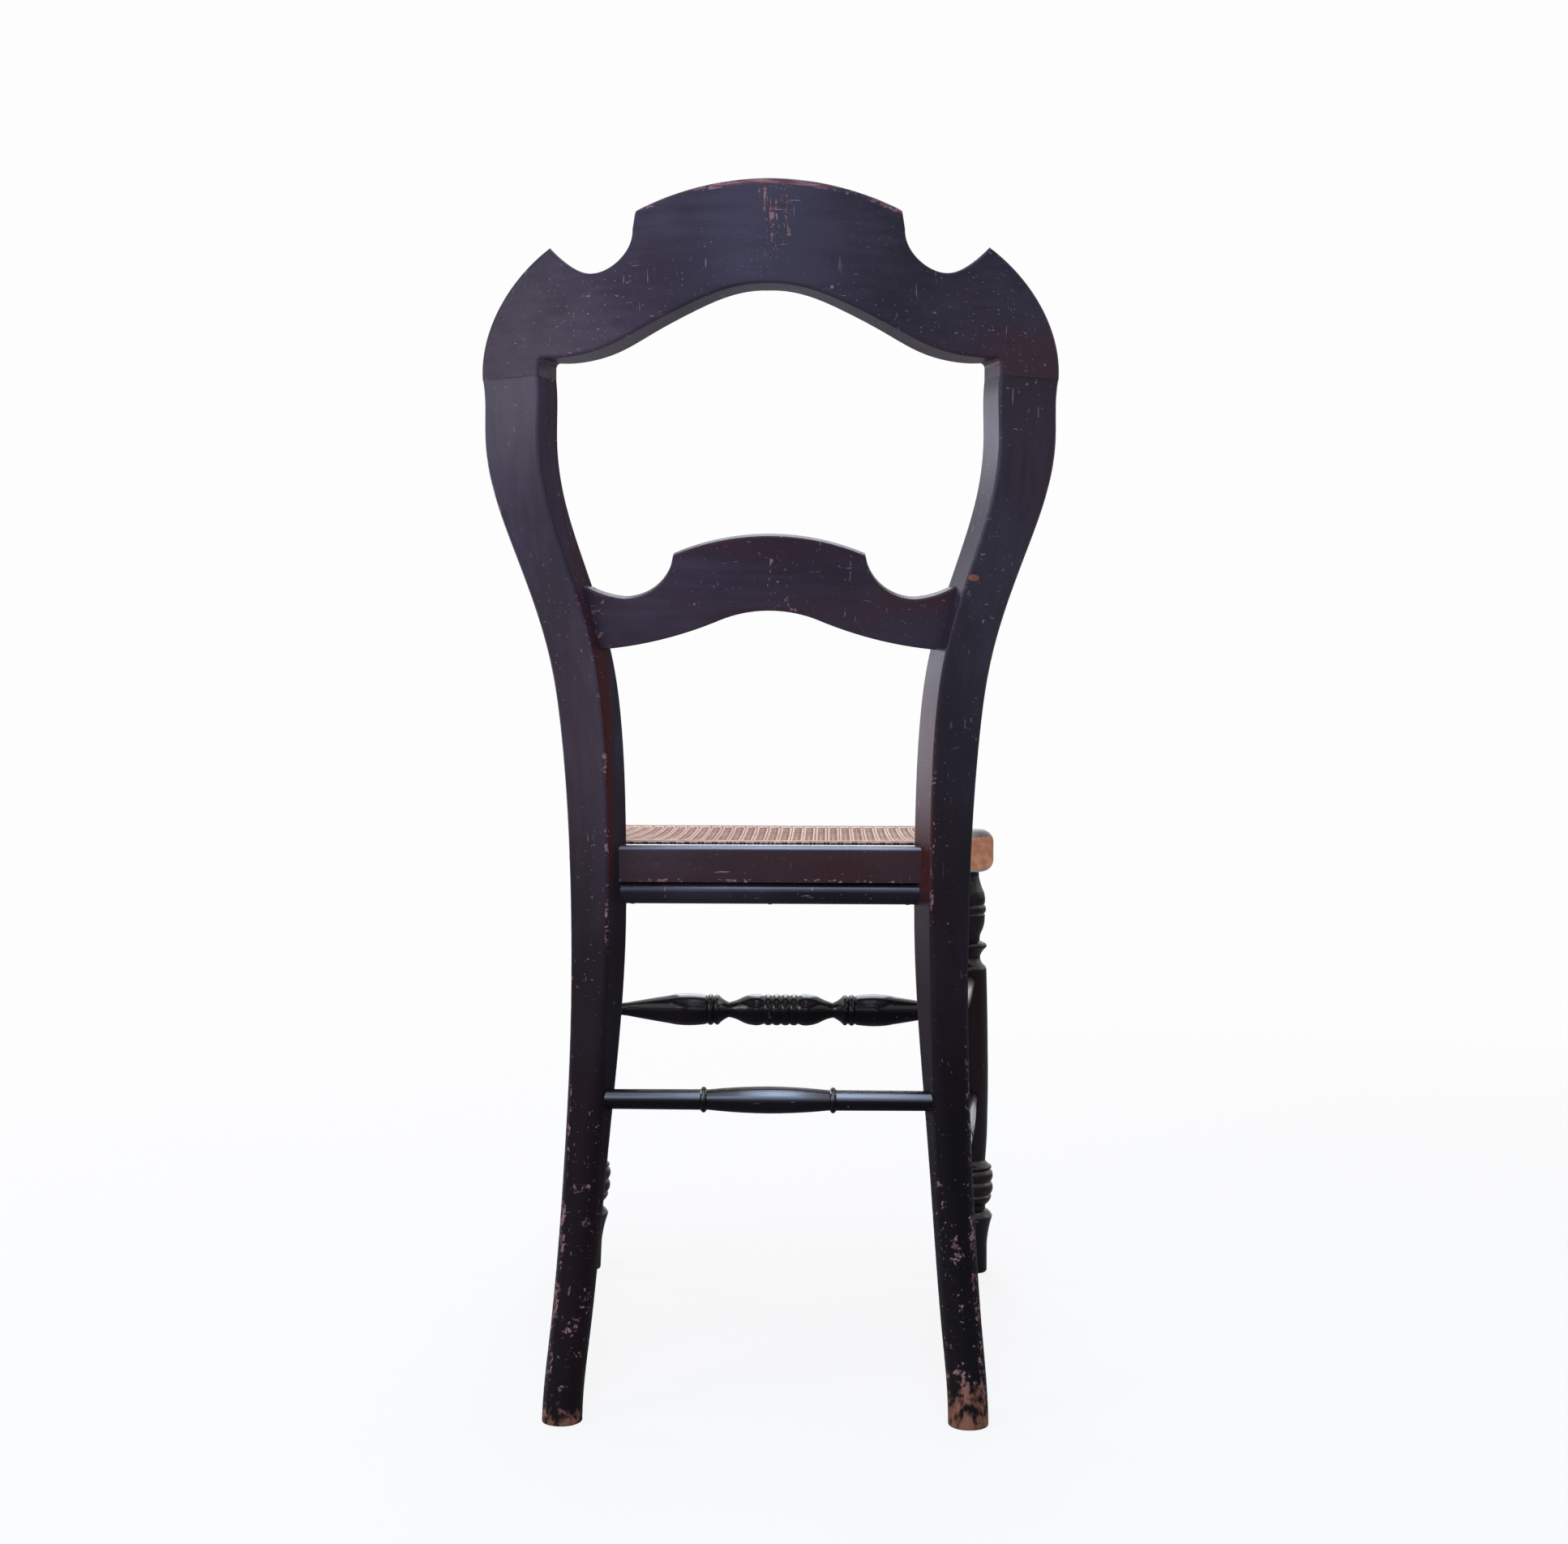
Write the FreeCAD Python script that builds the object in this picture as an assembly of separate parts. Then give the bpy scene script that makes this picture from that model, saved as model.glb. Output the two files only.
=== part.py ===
# Stenciled painted side chair with a balloon back and a caned seat.
# Millimetres. +Z is up, the sitter faces -Y, and the sitter's left is +X.
# The origin is on the floor, under the middle of the chair's box.
import FreeCAD
import Part
import math
import os

os.makedirs("parts", exist_ok=True)
V = FreeCAD.Vector
UP = V(0, 0, 1)
ACROSS = V(1, 0, 0)

# Driving sizes of the whole chair
seat_height = 408.0
seat_depth = 418.0
seat_front_half = 193.5
foot_behind_rail = 87.0
half_depth = (seat_depth + foot_behind_rail) / 2
rear_rail_back = half_depth - foot_behind_rail
seat_front_y = -half_depth

# Rear posts: one plank each, stile and leg in one, turned about the vertical
post_seam_height = 749.0
post_thick = 28.5
post_turn = 26.0
foot_half = 144.5
waist_half = 128.7
bow_half = 182.8
foot_width = 28.0
waist_width = 35.0
bow_width = 49.3
leg_splay = 85.0
back_rake = 45.0
seam_flare = 3.3
foot_edge = 1.5
# height, spread towards the foot, splay, width, roundness of the corners
leg_station_shares = [
    (0.0, 1.0, 0.0, 0.0, 0.95),
    (0.147, 0.80, 0.26, 0.08, 0.94),
    (0.294, 0.55, 0.49, 0.14, 0.88),
    (0.475, 0.31, 0.72, 0.23, 0.70),
    (0.637, 0.11, 0.88, 0.37, 0.42),
    (0.819, 0.0, 0.976, 0.69, 0.21),
]
# height above the seat, spread of the bow, rake, width, flare of the sides
bow_station_shares = [
    (0.0, 0.02, 0.0, 0.0, 0.0),
    (0.252, 0.10, 0.13, 0.24, 0.0),
    (0.399, 0.216, 0.32, 0.32, 0.0),
    (0.516, 0.403, 0.50, 0.38, 0.0),
    (0.633, 0.649, 0.69, 0.476, 0.1),
    (0.751, 0.88, 0.84, 0.67, 0.3),
    (0.868, 0.985, 0.942, 0.867, 0.65),
    (1.0, 1.0, 1.0, 1.0, 1.0),
]
bow_round_share = 0.18

# Crest rail: a thick plank, hollowed for the back and sawn to a yoke
crest_radius = 435.0
crest_thick = 28.5
crest_top = 883.1
crest_step_half = 94.7
crest_step_top = 862.8
crest_step_foot = 848.9
crest_notch_half = 127.6
crest_notch_low = 819.6
crest_ear_half = 157.5
crest_ear_top = 840.0
crest_bulge_half = 190.6
crest_bulge_height = 812.2
crest_outer_half = 211.0
crest_outer_height = 762.6
crest_arch_top = 808.2
crest_arch_half = 57.5
crest_arch_foot = 794.1
crest_slope_half = 117.0
crest_slope_foot = 766.2
crest_flat_half = 139.0
crest_flat_height = 761.4
crest_corner = 3.5
crest_ear_mid_half = 144.5
crest_ear_mid = 827.5
crest_edge = 2.2
crest_back_edge = 5.0

# Middle rail: a thinner, leaning board of the same stepped outline
slat_height = 592.0
slat_behind_rail = 31.0
slat_radius = 600.0
slat_thick = 14.0
slat_rake = 14.5
slat_top = 43.0
slat_step_half = 70.0
slat_step_top = 28.0
slat_step_foot = 21.0
slat_scoop_half = 106.5
slat_scoop_low = -5.0
slat_reach = 150.0
slat_reach_top = 13.5
slat_bottom = -12.0
slat_bottom_half = 36.0
slat_bottom_foot = -19.3
slat_bottom_reach = -46.0
slat_bottom_mid_half = 90.0
slat_bottom_mid = -37.4
slat_edge = 1.6
sag_share = 0.25

# Seat frame
side_rail_high = 38.0
rear_rail_high = 28.0
rail_wide = 42.0
side_rail_wide = 50.0
rear_rail_set_in = 11.5
rear_rail_wide = 28.5
rail_edge = 11.0
rear_edge = 4.5
front_corner = 36.0
side_rail_start_half = 148.0
# how far forward along the side rail, and how far out of its flare
side_flare_shares = [
    (0.35, 0.20),
    (0.65, 0.355),
    (0.80, 0.47),
    (0.88, 0.66),
    (0.945, 0.915),
    (0.975, 0.985),
    (1.0, 1.0),
]
bead_radius = 8.7
bead_gap = 0.3
bead_set_back = 1.0
bead_flat_share = 0.12

# Joints
tenon_thick = 10.0
rear_tenon_thick = 8.0
tenon_deep = 14.0
tenon_margin = 6.0
joint_clearance = 0.2
dowel_radius = 4.0
dowel_half_length = 16.0
front_dowel_ahead = 9.5
dowel_clearance = 0.1
dowel_spread_share = 0.28
middle_share = 0.5
side_tenon_out_share = 0.55

# Cane, its ring of drilled holes, its binder and its pegs
cane_thick = 1.5
cane_lap = 13.0
cane_hole_radius = 2.2
cane_hole_pitch = 10.7
cane_hole_from_edge = 7.5
cane_gap = 10.5
cane_grid = 17.0
cane_rim = 5.0
binder_wide = 5.0
binder_thick = 1.2
peg_radius = 2.0
peg_length = 12.0
peg_every = 7

# Front legs
front_leg_top_half = 170.6
front_leg_foot_half = 178.5
front_leg_radius = 19.5
front_leg_tenon_radius = 9.0
front_leg_tenon = 24.0
front_leg_shaft_share = 0.855
# height and radius, and a third share where the stretch before it bulges
front_leg_shares = [
    (0.0, 0.56),
    (0.005, 0.62, 0.60),
    (0.070, 0.645),
    (0.139, 0.92, 0.74),
    (0.157, 0.60, 0.83),
    (0.167, 0.61),
    (0.188, 0.90, 0.81),
    (0.193, 0.86),
    (0.199, 0.93),
    (0.219, 0.95, 0.975),
    (0.225, 0.89),
    (0.231, 0.95),
    (0.252, 0.93, 0.985),
    (0.256, 0.86),
    (0.266, 0.86, 0.93),
    (0.278, 0.64, 0.72),
    (0.400, 0.79, 0.74),
    (0.560, front_leg_shaft_share, 0.84),
    (0.752, front_leg_shaft_share, 0.865),
    (0.764, 0.74, 0.83),
    (0.780, 0.57, 0.62),
    (0.787, 0.57),
    (0.808, 0.87, 0.68),
    (0.818, 0.82, 0.88),
    (0.824, 0.56),
    (0.842, 0.61, 0.57),
    (0.872, 0.81, 0.74),
    (0.888, 0.83),
    (0.892, 0.80),
    (0.914, 0.80, 0.885),
    (0.918, 0.84),
    (0.946, 0.80, 0.85),
    (0.985, 0.58, 0.66),
    (1.0, 0.58),
]

# Stretchers, set by height and by how far each runs into the legs
front_stretcher_height = 240.0
front_stretcher_radius = 14.5
stretcher_tenon = 12.0
# distance from the middle and radius, then a bulge as above
front_stretcher_shares = [
    (0.0, 0.88),
    (0.048, 0.88, 0.99),
    (0.093, 0.88, 0.985),
    (0.154, 0.975, 0.99),
    (0.220, 0.74, 0.90),
    (0.286, 0.48, 0.57),
    (0.343, 0.955, 0.66),
    (0.360, 0.90, 0.965),
    (0.367, 0.85),
    (0.374, 0.93),
    (0.397, 0.93, 0.985),
    (0.403, 0.86),
    (0.412, 0.93),
    (0.560, 0.985, 1.01),
    (0.610, 0.89, 0.95),
    (0.840, 0.43, 0.67),
    (0.920, 0.36, 0.385),
    (1.0, 0.36),
]
rear_stretcher_height = 220.0
rear_stretcher_radius = 10.0
stretcher_inset_share = 0.36
rear_stretcher_shares = [
    (0.0, 1.0),
    (0.352, 0.745, 0.93),
    (0.360, 0.89),
    (0.382, 0.89, 0.955),
    (0.390, 0.76),
    (1.0, 0.735),
]
side_stretcher_heights = {"upper": 268.0, "lower": 162.0}
side_stretcher_radius = 9.5
side_stretcher_shares = [
    (0.0, 0.96),
    (0.030, 0.88, 0.99),
    (0.045, 0.86),
    (0.130, 0.98, 0.94),
    (0.750, 0.74, 0.90),
    (1.0, 0.70),
]

# Brads that hold the bead, one in the middle and one near each end
brad_radius = 0.8
brad_length = 9.0
brad_spread_share = 0.86
brad_head_radius = 1.5
brad_head = 0.6

overrun = 5.0


def wire_of(steps, place):
    """Join a start point and its steps: straight, on an arc, or on a smooth curve."""
    edges = []
    here = place(steps[0])
    for step in steps[1:]:
        there = place(step[-1])
        if len(step) > 2:
            curve = Part.BSplineCurve()
            curve.interpolate([here] + [place(point) for point in step])
            edges.append(curve.toShape())
        elif len(step) == 2:
            edges.append(Part.Arc(here, place(step[0]), there).toShape())
        else:
            edges.append(Part.LineSegment(here, there).toShape())
        here = there
    return Part.Wire(edges)


def turned(shares, length, radius, mirror):
    """Revolve a turner's profile about +Z; a mirrored one runs from -length to length."""
    points = [(share[0] * length, share[1] * radius) for share in shares]
    edges = []
    ends = [V(0, 0, points[0][0]), V(0, 0, points[-1][0])]
    for number in range(1, len(shares)):
        low, high = points[number - 1], points[number]
        here = V(low[1], 0, low[0])
        there = V(high[1], 0, high[0])
        if len(shares[number]) == 3:
            middle = V(shares[number][2] * radius, 0, (low[0] + high[0]) / 2)
            edges.append(Part.Arc(here, middle, there).toShape())
        else:
            edges.append(Part.LineSegment(here, there).toShape())
    start = V(points[0][1], 0, points[0][0])
    finish = V(points[-1][1], 0, points[-1][0])
    edges.append(Part.LineSegment(finish, ends[1]).toShape())
    edges.append(Part.LineSegment(ends[1], ends[0]).toShape())
    edges.append(Part.LineSegment(ends[0], start).toShape())
    solid = Part.Face(Part.Wire(Part.__sortEdges__(edges))).revolve(V(0, 0, 0), UP, 360)
    if mirror:
        solid = solid.fuse(solid.mirror(V(0, 0, 0), UP)).removeSplitter()
    return solid.Solids[0]


def laid_between(solid, start, end):
    """Turn a +Z piece about its middle to lie from start to end."""
    placed = solid.copy()
    run = end - start
    turn = FreeCAD.Rotation(UP, run)
    placed.Placement = FreeCAD.Placement((start + end) / 2, turn)
    return placed


def only_solid(shape):
    """Take the one solid out of a boolean's result, the largest if it left a chip."""
    return sorted(shape.Solids, key=lambda solid: solid.Volume)[-1]


# Rear posts
def rounded_quad(corners, radius, height):
    """A closed wire of four straight sides joined by four arcs."""
    edges = []
    tangents = []
    for number in range(4):
        corner = corners[number]
        before = (corners[number - 1] - corner).normalize()
        after = (corners[(number + 1) % 4] - corner).normalize()
        half_angle = before.getAngle(after) / 2
        reach = radius / math.tan(half_angle)
        inward = (before + after).normalize()
        middle = corner + inward * (radius / math.sin(half_angle) - radius)
        tangents.append((corner + before * reach, middle, corner + after * reach))
    lift = V(0, 0, height)
    for number in range(4):
        entry, middle, leave = tangents[number]
        following = tangents[(number + 1) % 4][0]
        edges.append(Part.Arc(entry + lift, middle + lift, leave + lift).toShape())
        edges.append(Part.LineSegment(leave + lift, following + lift).toShape())
    return Part.Wire(edges)


def post_corners(centre_half, back_y, width, round_radius, flare):
    """Corners of the +X post's section, from the rear inner one outwards."""
    turn = math.radians(post_turn)
    out = V(math.cos(turn), -math.sin(turn), 0)
    back = V(math.sin(turn), math.cos(turn), 0)
    half_width = width / 2
    half_thick = post_thick / 2
    depth = (half_width - round_radius) * math.sin(turn)
    depth += (half_thick - round_radius) * math.cos(turn) + round_radius
    centre = V(centre_half, back_y - depth, 0)
    splay = math.radians(flare)
    inner_side = V(math.sin(turn - splay), math.cos(turn - splay), 0)
    outer_side = V(math.sin(turn + splay), math.cos(turn + splay), 0)
    rear_inner = centre - out * half_width + back * half_thick
    rear_outer = centre + out * half_width + back * half_thick
    front_outer = rear_outer - outer_side * (post_thick / math.cos(splay))
    front_inner = rear_inner - inner_side * (post_thick / math.cos(splay))
    return [rear_inner, rear_outer, front_outer, front_inner]


def post_stations():
    """Height, corners and corner radius of each section of the +X post."""
    stations = []
    for height, spread, splay, width, roundness in leg_station_shares:
        radius = roundness * post_thick / 2
        wide = foot_width + (waist_width - foot_width) * width
        radius = min(radius, roundness * wide / 2)
        half = waist_half + (foot_half - waist_half) * spread
        back_y = half_depth - leg_splay * splay
        corners = post_corners(half, back_y, wide, radius, 0)
        stations.append((height * seat_height, corners, radius))
    for height, spread, rake, width, flare in bow_station_shares:
        radius = bow_round_share * post_thick / 2
        wide = waist_width + (bow_width - waist_width) * width
        half = waist_half + (bow_half - waist_half) * spread
        back_y = half_depth - leg_splay + back_rake * rake
        corners = post_corners(half, back_y, wide, radius, seam_flare * flare)
        level = seat_height + (post_seam_height - seat_height) * height
        stations.append((level, corners, radius))
    return stations


stations = post_stations()
sections = [rounded_quad(corners, radius, height) for height, corners, radius in stations]
post_blank = Part.makeLoft(sections, True, False)
foot_edges = [edge for edge in post_blank.Edges if edge.BoundBox.ZMax < foot_edge / 2]
post_blank = post_blank.makeFillet(foot_edge, foot_edges)


def post_point(height, out_share, back_share):
    """A point in the +X post's section: shares run inner to outer, and front to rear."""
    for number in range(len(stations) - 1):
        low, high = stations[number], stations[number + 1]
        if height <= high[0]:
            break
    part = (height - low[0]) / (high[0] - low[0])
    mixed = [low[1][k] + (high[1][k] - low[1][k]) * part for k in range(4)]
    rear_inner, rear_outer, front_outer, front_inner = mixed
    rear = rear_inner + (rear_outer - rear_inner) * out_share
    front = front_inner + (front_outer - front_inner) * out_share
    point = front + (rear - front) * back_share
    return V(point.x, point.y, height)


# Crest rail
seam_arris = stations[-1][1][0]
crest_axis_y = seam_arris.y - math.sqrt(crest_radius ** 2 - seam_arris.x ** 2)


def arc_drop(half, fall, at):
    """How far a shallow arc has dropped at a distance from its top, given its half and fall."""
    arc_radius = (half ** 2 + fall ** 2) / (2 * fall)
    return arc_radius - math.sqrt(arc_radius ** 2 - at ** 2)


def crest_outline():
    """Right half of the crest before its notches, from the top middle to the arch."""
    seam_inner = stations[-1][1][0].x
    seam_outer = stations[-1][1][1].x
    top_fall = crest_top - crest_step_top
    top_mid = crest_step_half / 2
    past_step = crest_step_half * crest_radius / (crest_radius - crest_thick) + crest_edge
    lean = crest_corner * (1 - math.cos(math.radians(45)))
    arch_fall = crest_arch_top - crest_arch_foot
    arch_mid = crest_arch_half / 2
    return [
        (0, crest_top),
        ((top_mid, crest_top - arc_drop(crest_step_half, top_fall, top_mid)),
         (past_step, crest_top - arc_drop(crest_step_half, top_fall, past_step))),
        ((crest_ear_half - crest_edge, crest_ear_top + crest_edge),),
        ((crest_bulge_half, crest_bulge_height), (crest_outer_half, crest_outer_height),
         (seam_outer, post_seam_height)),
        ((seam_inner, post_seam_height),),
        ((seam_inner, crest_flat_height - crest_corner),),
        ((seam_inner - lean, crest_flat_height - lean),
         (seam_inner - crest_corner, crest_flat_height)),
        ((crest_flat_half, crest_flat_height), (crest_slope_half, crest_slope_foot),
         ((crest_slope_half + crest_arch_half) / 2, (crest_slope_foot + crest_arch_foot) / 2),
         (crest_arch_half, crest_arch_foot),
         (arch_mid, crest_arch_top - arc_drop(crest_arch_half, arch_fall, arch_mid)),
         (0, crest_arch_top)),
    ]


def crest_notch():
    """The notch beside the step and over the ear, sawn straight from back to front."""
    notch_radius = crest_notch_half - crest_step_half - crest_edge
    quarter = notch_radius * math.sin(math.radians(45))
    step_fall = crest_step_top - crest_step_foot
    above = crest_top + overrun
    return [
        (crest_step_half - crest_edge, crest_step_top + step_fall),
        ((crest_step_half + crest_edge, crest_step_foot),),
        ((crest_notch_half - quarter, crest_notch_low + notch_radius - quarter),
         (crest_notch_half, crest_notch_low), (crest_ear_mid_half, crest_ear_mid),
         (crest_ear_half + crest_edge, crest_ear_top + crest_edge)),
        ((crest_ear_half + crest_edge, above),),
        ((crest_step_half - crest_edge, above),),
        ((crest_step_half - crest_edge, crest_step_top + step_fall),),
    ]


def full_outline(half):
    """The whole closed outline from its right half."""
    def flip(point):
        return (-point[0], point[1])

    ends = [half[0]] + [step[-1] for step in half[1:]]
    steps = list(half)
    for number in range(len(half) - 1, 0, -1):
        target = flip(ends[number - 1])
        between = [flip(point) for point in reversed(half[number][:-1])]
        steps.append(tuple(between) + (target,))
    return steps


def curved_board(radius, thick, low, high):
    """A hollow board about a vertical axis at the origin, before it is sawn out."""
    shell = Part.makeCylinder(radius, high - low, V(0, 0, low), UP)
    return shell.cut(Part.makeCylinder(radius - thick, high - low, V(0, 0, low), UP))


def square_saw(outline, radius, thick):
    """What a saw keeps that cuts square to a curved board's face."""
    wires = []
    for distance in (radius / 2, radius + thick):
        def place(point, distance=distance):
            return V(distance * math.tan(math.asin(point[0] / radius)), distance, point[1])
        wires.append(wire_of(outline, place))
    return Part.makeLoft(wires, True, True)


def straight_saw(outline, radius, thick):
    """What a saw keeps that cuts straight from back to front."""
    wire = wire_of(outline, lambda point: V(point[0], radius / 2, point[1]))
    return Part.Face(wire).extrude(V(0, radius / 2 + thick, 0))


crest_shell = curved_board(crest_radius, crest_thick, post_seam_height - overrun, crest_top + overrun)
crest_saw = square_saw(full_outline(crest_outline()), crest_radius, crest_thick)
crest_blank = only_solid(crest_shell.common(crest_saw))
notch = straight_saw(crest_notch(), crest_radius, crest_thick)
crest_blank = only_solid(crest_blank.cut([notch, notch.mirror(V(0, 0, 0), ACROSS)]))
crest_blank.translate(V(0, crest_axis_y, 0))


def face_edges(board, axis_y, radius, above):
    """Edges of a curved board that lie on one of its two faces, above a height."""
    found = []
    for edge in board.Edges:
        ends = [vertex.Point for vertex in edge.Vertexes]
        reach = [math.hypot(point.x, point.y - axis_y) for point in ends]
        if max(abs(value - radius) for value in reach) < joint_clearance:
            if edge.CenterOfMass.z > above:
                found.append(edge)
    return found


crest_step_mid = (crest_step_top + crest_step_foot) / 2
top_back = face_edges(crest_blank, crest_axis_y, crest_radius, crest_step_mid + crest_edge)
crest_blank = crest_blank.makeFillet(crest_back_edge, top_back)
above_seam = post_seam_height + joint_clearance
rim = face_edges(crest_blank, crest_axis_y, crest_radius, above_seam)
rim += face_edges(crest_blank, crest_axis_y, crest_radius - crest_thick, above_seam)
crest_blank = crest_blank.makeFillet(crest_edge, rim)


# Dowels between the crest rail and the posts
def crest_dowel_spots():
    """Middle points of the two dowels in the +X seam."""
    spots = []
    for offset in (-dowel_spread_share, dowel_spread_share):
        spots.append(post_point(post_seam_height, middle_share + offset, middle_share))
    return spots


def both_sides(shape):
    return [shape, shape.mirror(V(0, 0, 0), ACROSS)]


def upright_pin(spot, radius, half_length):
    return Part.makeCylinder(radius, 2 * half_length, spot - UP * half_length, UP)


crest_pins = []
crest_pin_holes = []
for spot in crest_dowel_spots():
    hole_half = dowel_half_length + dowel_clearance
    crest_pins += both_sides(upright_pin(spot, dowel_radius, dowel_half_length))
    hole = upright_pin(spot, dowel_radius + dowel_clearance, hole_half)
    crest_pin_holes += both_sides(hole)
crest_rail = only_solid(crest_blank.cut(crest_pin_holes))


# Middle rail
def slat_outline():
    """Right half of the middle rail about its own middle, ending inside the post."""
    top_fall = slat_top - slat_step_top
    top_mid = slat_step_half / 2
    scoop_radius = slat_scoop_half - slat_step_half - slat_edge
    quarter = scoop_radius * math.sin(math.radians(45))
    arch_fall = slat_bottom - slat_bottom_foot
    arch_mid = slat_bottom_half / 2
    outer_mid = (slat_scoop_half + slat_reach) / 2
    outer_mid_height = slat_scoop_low + (slat_reach_top - slat_scoop_low) * sag_share
    return [
        (0, slat_top),
        ((top_mid, slat_top - arc_drop(slat_step_half, top_fall, top_mid)),
         (slat_step_half, slat_step_top)),
        ((slat_step_half + slat_edge, slat_step_foot),),
        ((slat_scoop_half - quarter, slat_scoop_low + scoop_radius - quarter),
         (slat_scoop_half, slat_scoop_low)),
        ((outer_mid, outer_mid_height), (slat_reach, slat_reach_top)),
        ((slat_reach, slat_bottom_reach),),
        ((slat_bottom_mid_half, slat_bottom_mid), (slat_bottom_half, slat_bottom_foot)),
        ((arch_mid, slat_bottom - arc_drop(slat_bottom_half, arch_fall, arch_mid)),
         (0, slat_bottom)),
    ]


def lean_slat(shape):
    """Turn the upright middle rail back and set it between the posts."""
    placed = shape.copy()
    placed.translate(V(0, rear_rail_back + slat_behind_rail - slat_radius, slat_height))
    pivot = V(0, rear_rail_back + slat_behind_rail, slat_height)
    placed.rotate(pivot, ACROSS, -slat_rake)
    return placed


slat_low = slat_bottom_reach - overrun
slat_shell = curved_board(slat_radius, slat_thick, slat_low, slat_top + overrun)
slat_saw = straight_saw(full_outline(slat_outline()), slat_radius, slat_thick)
slat_upright = only_solid(slat_shell.common(slat_saw))
for radius in (slat_radius, slat_radius - slat_thick):
    slat_upright = slat_upright.makeFillet(slat_edge, face_edges(slat_upright, 0, radius, slat_low))


def slat_tongue(extra):
    """The thinner tongues that run into both posts, grown all round by extra."""
    low = slat_bottom_reach + tenon_margin * 2 - extra
    high = slat_scoop_low + extra
    inner = (slat_thick - tenon_thick) / 2
    outer_face = slat_radius - inner + extra
    band = Part.makeCylinder(outer_face, high - low, V(0, 0, low), UP)
    inner_face = slat_radius - slat_thick + inner - extra
    band = band.cut(Part.makeCylinder(inner_face, high - low, V(0, 0, low), UP))
    start = post_point(slat_height, 0, middle_share).x - tenon_deep
    keep = Part.makeBox(2 * tenon_deep + extra, slat_radius, high - low,
                        V(start, slat_radius / 2, low))
    ends = [lean_slat(band.common(side)) for side in both_sides(keep)]
    return ends


# Seat frame, seen from above
post_front_inner = post_point(seat_height - side_rail_high / 2, 0, 0)
post_front_outer = post_point(seat_height - side_rail_high / 2, 1, 0)
front_run = (post_front_outer - post_front_inner).normalize()
front_run.z = 0
start_reach = (side_rail_start_half - post_front_inner.x) / front_run.x
side_rail_start = post_front_inner + front_run * start_reach
front_rail_back = seat_front_y + rail_wide
rear_face = rear_rail_back - rear_rail_set_in
rear_rail_front = rear_face - rear_rail_wide
rail_bottom = seat_height - side_rail_high
opening_front_half = seat_front_half - side_rail_wide
inner_lean = (opening_front_half - post_front_inner.x) / (post_front_inner.y - front_rail_back)
opening_rear_half = post_front_inner.x + (post_front_inner.y - rear_rail_front) * inner_lean


def prism(points, low, high):
    """A straight block between two heights over a plan given as x, y pairs."""
    corners = [V(x, y, low) for x, y in points]
    return Part.Face(Part.makePolygon(corners + corners[:1])).extrude(V(0, 0, high - low))


def edges_near(shape, test):
    return [edge for edge in shape.Edges if test(edge)]


def side_plan():
    """The side rail from above: its outer edge swells to the seat's wide front corner."""
    run = side_rail_start.y - front_rail_back
    flare = seat_front_half - side_rail_start.x
    outer = [(side_rail_start.x + flare * out, side_rail_start.y - run * along)
             for along, out in side_flare_shares]
    return [
        (post_front_inner.x, post_front_inner.y),
        ((side_rail_start.x, side_rail_start.y),),
        tuple(outer),
        ((opening_front_half, front_rail_back),),
        ((post_front_inner.x, post_front_inner.y),),
    ]


side_wire = wire_of(side_plan(), lambda point: V(point[0], point[1], rail_bottom))
side_blank = Part.Face(side_wire).extrude(V(0, 0, side_rail_high))


def is_outer(edge):
    box = edge.BoundBox
    return box.XMax > seat_front_half - joint_clearance and box.YLength > side_rail_wide


side_blank = side_blank.makeFillet(rail_edge, edges_near(side_blank, is_outer))
side_blank = only_solid(side_blank.cut(post_blank))


def front_blank_solid():
    """The front rail, with round front corners and a rolled front edge."""
    corner = front_corner
    half = seat_front_half
    lean = corner * (1 - math.cos(math.radians(45)))
    outline = [
        (-half, front_rail_back),
        ((-half, seat_front_y + corner),),
        ((-half + lean, seat_front_y + lean), (-half + corner, seat_front_y)),
        ((half - corner, seat_front_y),),
        ((half - lean, seat_front_y + lean), (half, seat_front_y + corner)),
        ((half, front_rail_back),),
        ((-half, front_rail_back),),
    ]
    wire = wire_of(outline, lambda point: V(point[0], point[1], rail_bottom))
    blank = Part.Face(wire).extrude(V(0, 0, side_rail_high))

    def on_rim(edge):
        level = edge.BoundBox.ZLength < joint_clearance
        return level and edge.CenterOfMass.y < front_rail_back - joint_clearance

    return blank.makeFillet(rail_edge, edges_near(blank, on_rim))


front_blank = front_blank_solid()
rear_low = seat_height - rear_rail_high
rear_half = stations[len(leg_station_shares)][1][0].x + tenon_margin
rear_plan = [
    (-rear_half, rear_face),
    (rear_half, rear_face),
    (rear_half, rear_rail_front),
    (-rear_half, rear_rail_front),
]
rear_blank = prism(rear_plan, rear_low, seat_height)


def is_back_top(edge):
    middle = edge.CenterOfMass
    return middle.y > rear_face - joint_clearance and middle.z > seat_height - joint_clearance


rear_blank = rear_blank.makeFillet(rear_edge, edges_near(rear_blank, is_back_top))
post_pair = both_sides(post_blank)
side_pair = both_sides(side_blank)
rear_blank = only_solid(rear_blank.cut(post_pair).cut(side_pair))


def rear_tongue(extra):
    """The rear rail's tenons, one bar right through, grown all round by extra."""
    half = post_point(seat_height, 0, middle_share).x + tenon_deep + extra
    low = rear_low + tenon_margin - extra
    high = seat_height - tenon_margin + extra
    middle_y = (post_front_inner.y + rear_face) / 2
    thick = rear_tenon_thick + 2 * extra
    return Part.makeBox(2 * half, thick, high - low, V(-half, middle_y - thick / 2, low))


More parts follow.
